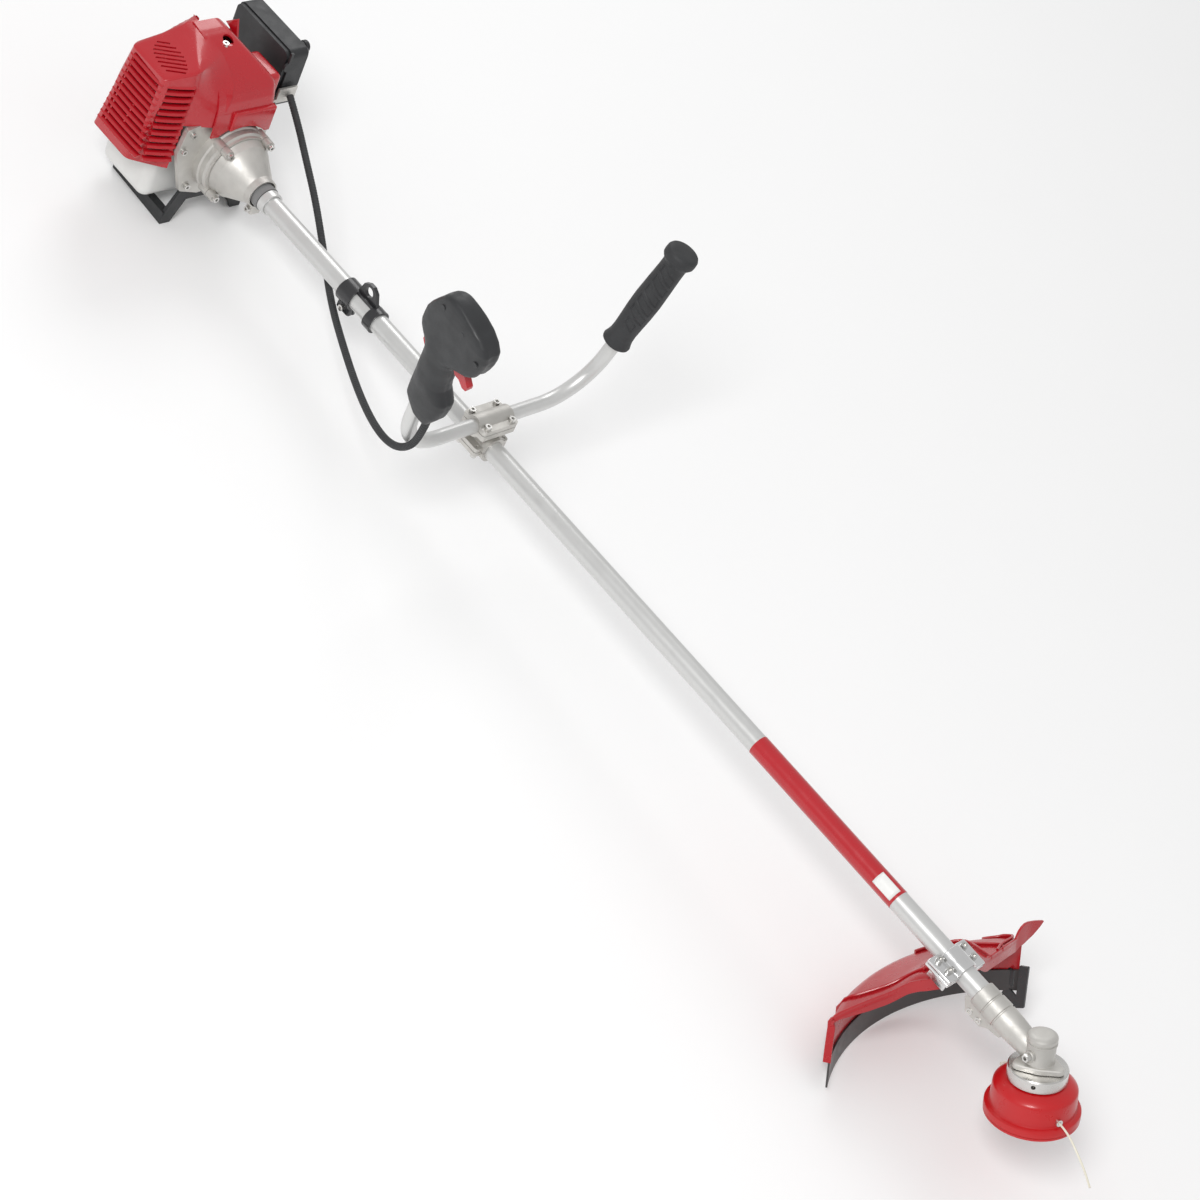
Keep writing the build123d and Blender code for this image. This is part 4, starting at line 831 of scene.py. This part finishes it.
make_muffler_guard()


def shroud_outline():
    """Side outline of the engine cover: rear wall, roof and sloping front."""
    outline = [Vector((rear_x(z), z)) for z in (40, 150)]
    return outline + [Vector((x, z)) for z, x in reversed(SHROUD)]


FARTHEST = 400.0


def ray_hit(middle, way, outline):
    """Distance from a point to an outline along a direction."""
    best = FARTHEST
    for a, b in zip(outline, outline[1:] + outline[:1]):
        edge = b - a
        den = way.x * edge.y - way.y * edge.x
        if abs(den) < 1e-9:
            continue
        gap = a - middle
        t = (gap.x * edge.y - gap.y * edge.x) / den
        u = (gap.x * way.y - gap.y * way.x) / den
        if t > 0 and -1e-6 <= u <= 1 + 1e-6:
            best = min(best, t)
    return best


COVER_MIDDLE = Vector((-1585, 44))
COVER_SHOULDER_Y, COVER_END_Y = 38, 48.0


def cover_row(y, columns):
    """Open section of the engine cover at y, from its rear foot over the roof to its front foot."""
    outline = shroud_outline()
    inset = 0.0
    if y > COVER_SHOULDER_Y:
        span = COVER_END_Y - COVER_SHOULDER_Y
        inset = 9.0 * (1 - math.sqrt(max(0, 1 - ((y - COVER_SHOULDER_Y) / span) ** 2)))
    row = []
    first, last = math.radians(181), 0.0
    for c in range(columns):
        angle = first + (last - first) * c / (columns - 1)
        way = Vector((math.cos(angle), math.sin(angle)))
        hits = [ray_hit(COVER_MIDDLE, way, outline) - inset]
        if way.y > 0.05:
            shoulder = 158.0 - 0.93 * (y + 7)
            hits.append((shoulder - COVER_MIDDLE.y) / way.y - inset)
        p = COVER_MIDDLE + way * soft_min(hits, 2.4)
        row.append(S(p.x, y, p.y))
    return row


def make_engine_cover():
    """Top cover with its lower panel, side bulge and fin."""
    stations = [-47.0 + 3.0 * k for k in range(29)] + [40, 42.5, 44.5, 46, 47, 47.6, COVER_END_Y]
    rows = [cover_row(y, 150) for y in stations]
    side_middle = S(COVER_MIDDLE.x, COVER_END_Y, COVER_MIDDLE.y)
    rows.append([v.lerp(side_middle, 0.5) for v in rows[-1]])
    rows.append([v.lerp(side_middle, 0.98) for v in rows[-1]])
    shell = grid_piece("engine_cover_shell", rows, "red", S(COVER_MIDDLE.x, 0, COVER_MIDDLE.y))
    thicken(shell, COVER_WALL)
    axis = S(-1500, 0, 0), S(-1700, 0, 0)
    cut(shell, [solid_rod(*axis, 56.5), solid_rod(S(-1581, -14, 170), S(-1581, -14, 145.5), 7.5)])
    panel = bevelled_box("panel", at(SHAFT, -1540, 13, 60), (40, 68, 39), 2.5)
    cut(panel, [solid_rod(*axis, 56.5)])
    bulge = bevelled_box("bulge", at(SHAFT, -1568, 46, 76), (54, 28, 70), 7)
    corners = ((-1624, 140), (-1597, 132), (-1606.5, 156.5))
    fin = rings("fin", [[S(x, y, z) for x, z in corners] for y in (17.5, 20.5)], "red", smooth=False)
    join(shell, [panel, bulge, fin])
    sharpen(shell, COVER_CREASE)
    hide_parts("engine_cover")
    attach(shell, "machine")


def bevelled_box(name, place, size, bevel, look="red", segments=5):
    """Box with round edges."""
    obj = solid_box(name, place, size, look)
    with edited(obj) as work:
        edges = work.edges[:]
        bmesh.ops.bevel(work, geom=edges, offset=bevel * MM, segments=segments, affect="EDGES", profile=0.5)
    for face in obj.data.polygons:
        face.use_smooth = True
    return obj


make_engine_cover()

# ---------------- guard
GUARD = SHAFT @ Matrix.Rotation(math.radians(4), 4, "X") @ Matrix.Rotation(HEAD_TILT, 4, "Y")
CROWN = [(100, 25.9), (150, 23), (190, 11), (224, -2), (231, -7), (233, -13)]
GUARD_R, RIM_R, WALL_FOOT, MOULDING = 233, 236, -53, 3.0
FAR_END, NEAR_END, SKIRT_END = 133.2, 208.3, 132.5
SEAT_RISE, EASING_PASSES = 15, 60
NEAR_LIP = [
    (-205.5, -110), (-202, -107), (-192.6, -87.5), (-182.5, -69), (-172.6, -50), (-160, -35),
    (-141, -26), (-130, -14.5), (-127, 0), (-128, 19), (-127, 34), (-129, 52),
]
FAR_LIP = [(-132.5, 69), (-135, 79), (-139, 101), (-145, 126), (-152, 149)]


def G(x, y, z):
    """A point of the guard's frame, in millimetres."""
    return GUARD @ Vector((x * MM, y * MM, z * MM))


def crown(x, y):
    """Height of the guard's skin over a point of its plan: a dome with a raised seat for the clamp."""
    seat = smooth_step(-58, -16, y) * (1.0 - smooth_step(46, 74, y)) * smooth_step(-192, -158, x)
    return lerp(CROWN, math.hypot(x, y))[0] + SEAT_RISE * seat


def smooth_path(points, step=2):
    """A plan line through points with its corners eased."""
    dense = []
    for a, b in zip(points, points[1:]):
        a, b = Vector(a), Vector(b)
        count = max(2, int((b - a).length))
        dense += [a.lerp(b, k / count) for k in range(count)]
    dense.append(Vector(points[-1]))
    for _ in range(EASING_PASSES):
        eased = [(a + b * 2 + c) / 4 for a, b, c in zip(dense, dense[1:], dense[2:])]
        dense = [dense[0]] + eased + [dense[-1]]
    return even_columns(dense, max(8, int(len(dense) / step)))


LIP = smooth_path(NEAR_LIP + FAR_LIP)


def front_radius(angle):
    """Radius at which the skin starts, along an angle of the plan."""
    way = Vector((math.cos(angle), math.sin(angle)))
    hit = ray_hit(Vector((0, 0)), way, LIP + [Vector((-400, 400)), Vector((-400, -200))])
    return min(hit, GUARD_R - 3)


def wall_end(z):
    """Angle at which the near end of the wall stands, at a height."""
    return math.radians(NEAR_END + 4.2 * (-13.0 - z) / 40)


RIM_DEPTH, RIM_GROWTH, FAR_GROWTH = 9, 6.5, 3.5
RIM_CORNER = [  # where the rim turns down the near wall: point, way its depth goes
    ((-208.4, -111.5, -10.5), (0.8, 0.42, -0.4)),
    ((-206.3, -109.5, -6), (0.45, 0.24, -0.85)),
]
LEAF = [  # curled tip at the rim's far end: point, depth
    (-153.4, 155, 11.5, 21), (-154.3, 161, 14.5, 24.5), (-155.2, 168, 15.3, 25),
    (-156, 175, 13.8, 23), (-155.6, 182, 11.6, 19), (-155, 189, 9.3, 13.5),
    (-154.4, 195, 7, 8), (-154, 201, 4.5, 1.6),
]


def lip_bar():
    """The front edge's rim: it stands on the near wall, runs along the edge and ends in a leaf."""
    spine = []
    for z in (WALL_FOOT, -45, -37, -29, -22, -16):
        foot = Vector((RIM_R * math.cos(wall_end(z)), RIM_R * math.sin(wall_end(z)), z))
        spine.append((foot, Vector((0.88, 0.47, 0))))
    spine += [(Vector(point), Vector(drop).normalized()) for point, drop in RIM_CORNER]
    spine += [(Vector((p.x, p.y, crown(p.x, p.y) + 3)), Vector((0, 0, -1))) for p in LIP[1:]]
    spine += [(Vector(row[:3]), Vector((0.1, 0, -1)).normalized()) for row in LEAF]
    count = len(spine)
    ring_list = []
    for index, (here, drop) in enumerate(spine):
        ahead = (spine[min(index + 1, count - 1)][0] - spine[max(index - 1, 0)][0]).normalized()
        out = ahead.cross(drop).normalized()
        if out.x < 0:
            out = -out
        share = index / (count - 1)
        depth = RIM_DEPTH + RIM_GROWTH * smooth_step(6, 34, index)
        depth += FAR_GROWTH * smooth_step(0.50, 0.62, share)
        if index >= count - len(LEAF):
            depth = LEAF[index - count][3]
        sides = (0, 0.5, 2.5, 3, 3, 2.5, 0.5, 0)
        falls = (0.4, 0, 0, 0.4, depth - 0.4, depth, depth, depth - 0.4)
        ring_list.append([GUARD @ ((here - out * a + drop * b) * MM) for a, b in zip(sides, falls)])
    return rings("lip", ring_list, "red_guard")


RIDGE_ROOT, RIDGE_EASE = -1.5, 0.8
RIDGES = [  # height, width, fall down the wall, plan points
    (3.5, 3, 24, [
        (-152, -1), (-163, -9), (-177, -18), (-194, -45.5), (-210, -67), (-221, -74),
    ]),
    (4.5, 3, 0, [
        (-222, 52), (-210, 88), (-195, 106), (-180, 101), (-166, 93), (-150, 86),
        (-135, 79),
    ]),
    (5.5, 3, 0, [
        (-141, 98), (-150, 117), (-154, 134), (-158, 151), (-166, 158), (-177, 150),
        (-190, 134),
    ]),
    (3, 2, 0, [(-166, -1), (-128, -1.5)]),
    (3, 2, 0, [(-143, -22), (-150, 8)]),
    (3, 2, 0, [(-159, -11), (-167, 19)]),
    (4, 2.2, 0, [(-180, 101), (-150, 121), (-141, 108)]),
]


def ridge_bar(high, width, fall, plan):
    """A ridge on the skin along plan points; fall takes its last point down the wall."""
    points = [Vector((p.x, p.y, crown(p.x, p.y))) for p in smooth_path(plan)]
    if fall:
        end = points[-1]
        points += [Vector((end.x * 1.012, end.y * 1.012, end.z - fall * k / 4)) for k in range(1, 5)]
    count = len(points)
    half = width / 2
    sides = (-half, -half, RIDGE_EASE - half, half - RIDGE_EASE, half, half)
    rises = (RIDGE_ROOT, high - RIDGE_EASE, high, high, high - RIDGE_EASE, RIDGE_ROOT)
    ring_list = []
    for index, here in enumerate(points):
        ahead = (points[min(index + 1, count - 1)] - points[max(index - 1, 0)]).normalized()
        radial = Vector((here.x, here.y, 0)).normalized()
        wall = smooth_step(count - 6, count - 3, index) if fall else 0.0
        up = (Vector((0, 0, 1)) * (1.0 - wall) + radial * wall).normalized()
        side = ahead.cross(up).normalized()
        ring_list.append([GUARD @ ((here + side * a + up * b) * MM) for a, b in zip(sides, rises)])
    return rings("ridge", ring_list, "red_guard")


def wall_row(z, first, columns, radius):
    """Points round the wall at a height, from an angle in degrees to the wall's near end."""
    first = math.radians(first)
    angles = [first + (wall_end(z) - first) * c / (columns - 1) for c in range(columns)]
    return [G(radius * math.cos(a), radius * math.sin(a), z) for a in angles]


def make_guard():
    """Guard moulding: domed skin, wall, rim and ridges."""
    columns, skin_rows = 150, 22
    first, last = math.radians(FAR_END), math.radians(NEAR_END)
    angles = [first + (last - first) * c / (columns - 1) for c in range(columns)]
    rows = []
    for r in range(skin_rows):
        row = []
        for angle in angles:
            near = front_radius(angle)
            radius = near + (GUARD_R - near) * (r / (skin_rows - 1)) ** 0.8
            x, y = radius * math.cos(angle), radius * math.sin(angle)
            row.append(G(x, y, crown(x, y)))
        rows.append(row)
    for z in (-18, -24, -31, -38, -46, WALL_FOOT):
        rows.append(wall_row(z, FAR_END, columns, GUARD_R))
    shell = grid_piece("guard_moulding", rows, "red_guard", G(-100, -20, -60))
    thicken(shell, MOULDING)
    join(shell, [lip_bar()] + [ridge_bar(*ridge) for ridge in RIDGES])
    sharpen(shell, 40)
    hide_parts("guard")
    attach(shell, "machine")


def make_skirt():
    """Rubber skirt riveted inside the wall and hanging below it."""
    heights = (-50, -53.5, -58, -63, -68, -73, -76, -79)
    rows = [wall_row(z, SKIRT_END, 120, GUARD_R - 3.1) for z in heights]
    skirt = grid_piece("guard_skirt_rubber", rows, "skirt", G(-100, -20, -60))
    thicken(skirt, 2.2)
    sharpen(skirt, 40)
    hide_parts("guard_skirt")
    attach(skirt, "machine")


def make_guard_clamp():
    """Plated strap over the tube, on a folded bracket that stands on the guard's seat."""
    strap_rows = []
    for x, radius in ((-151, 15.6), (-150.2, 16.4), (-121.8, 16.4), (-121, 15.6)):
        angles = [math.pi * k / 24 for k in range(25)]
        strap_rows.append([S(x, radius * math.cos(a), radius * math.sin(a) + 0.5) for a in angles])
    strap = grid_piece("guard_strap", strap_rows, "chrome", S(-136, 0, 0))
    thicken(strap, 2.6)
    plates = []
    for side in (-1, 1):
        for z in (2.7, -2.7):
            plate = at(SHAFT, -138, side * 23.5, z)
            plates.append(bevelled_box("plate", plate, (36, 17, 4.6), 1.2, "chrome", 3))
        leg = at(SHAFT, -138, side * 19.5, -13)
        plates.append(bevelled_box("leg", leg, (26, 3, 22), 1, "chrome", 3))
    join(strap, plates)
    sharpen(strap, 35)
    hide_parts("guard_clamp")
    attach(strap, "machine")


def make_line_cutter():
    """L-shaped steel knife that trims the line at the guard's far end."""
    corners = [
        (-151.5, -38), (-138.5, -33), (-139.5, -92), (-151, -98), (-175, -92), (-167, -74),
        (-152, -82),
    ]
    outline = rounded([Vector(p) for p in corners], 1.2, 3)
    ring_list = [[G(p.x, y, p.y) for p in outline] for y in (159, 161.4)]
    knife = rings("line_knife", ring_list, "black_paint", smooth=False)
    outward(knife)
    tab = bevelled_box("tab", at(GUARD, -163, 160, -60), (10, 3, 24), 1.2, "black_paint")
    join(knife, [tab])
    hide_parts("line_cutter")
    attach(knife, "machine")


make_guard()
make_skirt()
make_guard_clamp()
make_line_cutter()

# ---------------- gear case and cutting head
def turned(name, base, profile, look, axis="z", sides=96):
    """Surface of revolution in a frame: (station along the axis, radius) rows, in millimetres."""
    ring_list = []
    for station, radius in profile:
        ring = []
        for k in range(sides):
            a = 2 * math.pi * k / sides
            u, v = radius * math.cos(a), radius * math.sin(a)
            place = (station, u, v) if axis == "x" else (u, v, station)
            ring.append(base @ (Vector(place) * MM))
        ring_list.append(ring)
    return rings(name, ring_list, look)


def hull_outline(circles, steps=24):
    """Convex outline round circles given as (x, y, radius)."""
    points = []
    for x, y, radius in circles:
        for k in range(steps):
            a = 2 * math.pi * k / steps
            points.append((x + radius * math.cos(a), y + radius * math.sin(a)))
    points.sort()
    half = []
    for sequence in (points, points[::-1]):
        chain = []
        for p in sequence:
            while len(chain) > 1 and cross(chain[-2], chain[-1], p) <= 0:
                chain.pop()
            chain.append(p)
        half += chain[:-1]
    return [Vector(p) for p in half]


def cross(a, b, c):
    """Which way three plan points turn: above 0 for a left turn."""
    return (b[0] - a[0]) * (c[1] - a[1]) - (b[1] - a[1]) * (c[0] - a[0])


NECK_PROFILE = [
    (-95, 13.4), (-95, 15.2), (-94.2, 16), (-79, 16.3), (-78.2, 15.3), (-76.8, 15.3),
    (-76, 16.6), (-62, 17), (-61.2, 15.8), (-59.8, 15.8), (-59, 16.6), (-42, 16.2),
    (-28, 15.2), (-16, 14), (-6, 11.5), (2, 6),
]
CASE_PROFILE = [
    (-9, 20), (-6.5, 19.4), (-3.5, 17.2), (-1, 16.5), (19, 16.3), (19.8, 17.2), (21.4, 17.2),
    (22, 16), (23.4, 16), (24, 16.9), (27.8, 16.9), (29.3, 16.2), (30.6, 14.2), (31.3, 10.5),
    (31.5, 5),
]
BOSS_PROFILE = [(12, 7), (18.6, 6.6), (19.4, 5.8)]
PLUG_PROFILE = [(19, 5.2), (24, 5.2), (25.2, 4.8), (25.2, 2.6), (21.5, 2.4)]
PLATE_CORNERS = [
    (-104, -4), (-104, -14), (-95, -28), (-73, -29), (-62, -21), (-46, -18),
    (-46, -4),
]
BOSS = at(HEAD @ Matrix.Rotation(math.radians(-97), 4, "Z"), 0, 0, 8)


def make_flange():
    """Three-lobed foot of the gear case."""
    lobes = [(0, 0, 20)]
    for a in (math.radians(t) for t in (8, 122, 238)):
        lobes.append((24.0 * math.cos(a), 24.0 * math.sin(a), 6.5))
    outline = hull_outline(lobes)
    ring_list = []
    for z, inset in ((-10.3, 0.8), (-9.6, 0), (-4.6, 0), (-3.4, 0.9), (-3, 2.2)):
        shrink = 1 - inset / 28.0
        ring_list.append([H(p.x * shrink, p.y * shrink, z) for p in outline])
    return rings("flange", ring_list, "cast")


def make_gear_case():
    """Cast case with its neck over the tube, clamp lug, flange and boss."""
    neck = turned("gear_case_casting", SHAFT, NECK_PROFILE, "cast", "x")
    body = turned("body", HEAD, CASE_PROFILE, "cast")
    flange = make_flange()
    lug = bevelled_box("lug", at(SHAFT, -83.3, 0.6, -21), (23.5, 13, 18), 2.5, "cast")
    cut(lug, [solid_box("slit", at(SHAFT, -83.3, 0.6, -23), (30, 1.6, 22))])
    boss = turned("boss", BOSS, BOSS_PROFILE, "cast", "x", 40)
    join(neck, [body, flange, lug, boss])
    sharpen(neck, 24)
    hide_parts("gear_case", "case_covers")
    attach(neck, "machine")


def make_grease_plug():
    """Hexagonal plug in the gear case's boss."""
    plug = turned("grease_plug", BOSS, PLUG_PROFILE, "steel", "x", 6)
    sharpen(plug, 25)
    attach(plug, "machine")


def make_case_plate():
    """Flat plate beside the clamp lug."""
    outline = rounded([Vector(p) for p in PLATE_CORNERS], 2, 4)
    ring_list = [[S(p.x, y, p.y) for p in outline] for y in (-9.6, -7.6)]
    plate = rings("case_plate", ring_list, "cast", smooth=False)
    outward(plate)
    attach(plate, "machine")


DRUM_PROFILE = [
    (-29, 20), (-25.6, 20), (-26.2, 30), (-27.6, 36), (-30.4, 41.5), (-33.4, 45),
    (-35.2, 46.6), (-36.4, 47), (-38, 47.2), (-50, 47.8), (-58.5, 48.3), (-59.8, 49),
    (-60.6, 52), (-61.4, 53.3), (-62.6, 53.7), (-68.8, 53.7), (-70, 53), (-70, 50),
    (-66, 46), (-40, 45), (-31, 38), (-29, 24),
]


def make_drum():
    """Trimmer head's red housing."""
    drum = turned("head_drum", HEAD, DRUM_PROFILE, "red_head")
    sharpen(drum, 24)
    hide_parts("head_housing")
    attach(drum, "cutting_head")


SEAT_BOLTS = [G(x, y, 28) for x in (-162, -134) for y in (-35, 35)]
SEAT_BOLT_REACH, HANDLE_REACH = 13 * MM, 80 * MM
HANDLE_MIDDLE = RIGHT_ARM @ Vector((0.02, 0, 0.23))


def make_screws():
    """The CAD screws without the guard's seat bolts, black where they hold the throttle handle."""
    work = bmesh.new()
    work.from_mesh(NODES["screws_and_pins"].data)
    gone = [v for v in work.verts if any((v.co - bolt).length < SEAT_BOLT_REACH for bolt in SEAT_BOLTS)]
    bmesh.ops.delete(work, geom=gone, context="VERTS")
    mesh = bpy.data.meshes.new("screws")
    work.to_mesh(mesh)
    work.free()
    screws = linked("cap_screws", mesh)
    dress(screws, "steel")
    mesh.materials.append(MATERIALS["black"])
    for face in mesh.polygons:
        face.material_index = int((face.center - HANDLE_MIDDLE).length < HANDLE_REACH)
    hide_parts("screws_and_pins")
    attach(screws, "machine")


STICKER_R = 13.55


def make_sticker():
    """Plain white label, wrapped on the red sleeve near its lower end."""
    angles = [math.radians(95.0 + 76.0 * k / 16) for k in range(17)]
    rows = []
    for x in (-266, -260, -254, -248, -242, -236.5):
        rows.append([S(x, STICKER_R * math.cos(a), STICKER_R * math.sin(a)) for a in angles])
    sticker = grid_piece("sleeve_sticker", rows, "sticker", S(-251, 0, 0))
    thicken(sticker, 0.12)
    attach(sticker, "machine")


make_gear_case()
make_grease_plug()
make_case_plate()
make_drum()
make_screws()
make_sticker()

# ---------------- stage
FLOOR_HALF, FLOOR_DROP = 12, 0.0005
FLOOR_COLOR = (0.97, 0.97, 0.97)
LIGHTS = {  # place, diameter, power
    "key": ((0.6, -2.6, 3.2), 1.3, 72.0),
    "fill": ((-2.4, 1.6, 2.4), 1.6, 22.0),
}
LIT_AT = Vector((0.0, 0.0, 0.1))
AMBIENT, BACKDROP = 0.62, 0.93


def make_floor():
    """Pale floor just under the machine."""
    mesh = bpy.data.meshes.new("floor")
    corners = [(a * FLOOR_HALF, b * FLOOR_HALF, 0) for a, b in ((-1, -1), (1, -1), (1, 1), (-1, 1))]
    mesh.from_pydata(corners, [], [(0, 1, 2, 3)])
    floor = linked("floor", mesh)
    floor.location.z = -FLOOR_DROP
    material, shader = new_material("floor", FLOOR_COLOR, 0.0, 0.9)
    vary(material, shader, FLOOR_COLOR, 3.0, 0.004)
    mesh.materials.append(material)


def area_light(name, place, size, energy):
    """Round soft light that faces the machine."""
    data = bpy.data.lights.new(name, "AREA")
    data.shape = "DISK"
    data.size = size
    data.energy = energy
    light = linked(name, data)
    light.location = place
    light.rotation_euler = (LIT_AT - Vector(place)).to_track_quat("-Z", "Y").to_euler()


def make_world():
    """White studio: brighter as the camera's backdrop than as the light that it gives."""
    world = bpy.data.worlds.new("studio")
    world.use_nodes = True
    nodes, links = world.node_tree.nodes, world.node_tree.links
    backdrop = nodes["Background"]
    backdrop.inputs["Color"].default_value = (1.0, 1.0, 1.0, 1.0)
    seen = nodes.new("ShaderNodeLightPath")
    strength = nodes.new("ShaderNodeMapRange")
    strength.inputs["To Min"].default_value = AMBIENT
    strength.inputs["To Max"].default_value = BACKDROP
    links.new(seen.outputs["Is Camera Ray"], strength.inputs["Value"])
    links.new(strength.outputs["Result"], backdrop.inputs["Strength"])
    bpy.context.scene.world = world


make_floor()
make_world()
for name, values in LIGHTS.items():
    area_light(name, *values)
bpy.context.scene.view_settings.view_transform = "Standard"
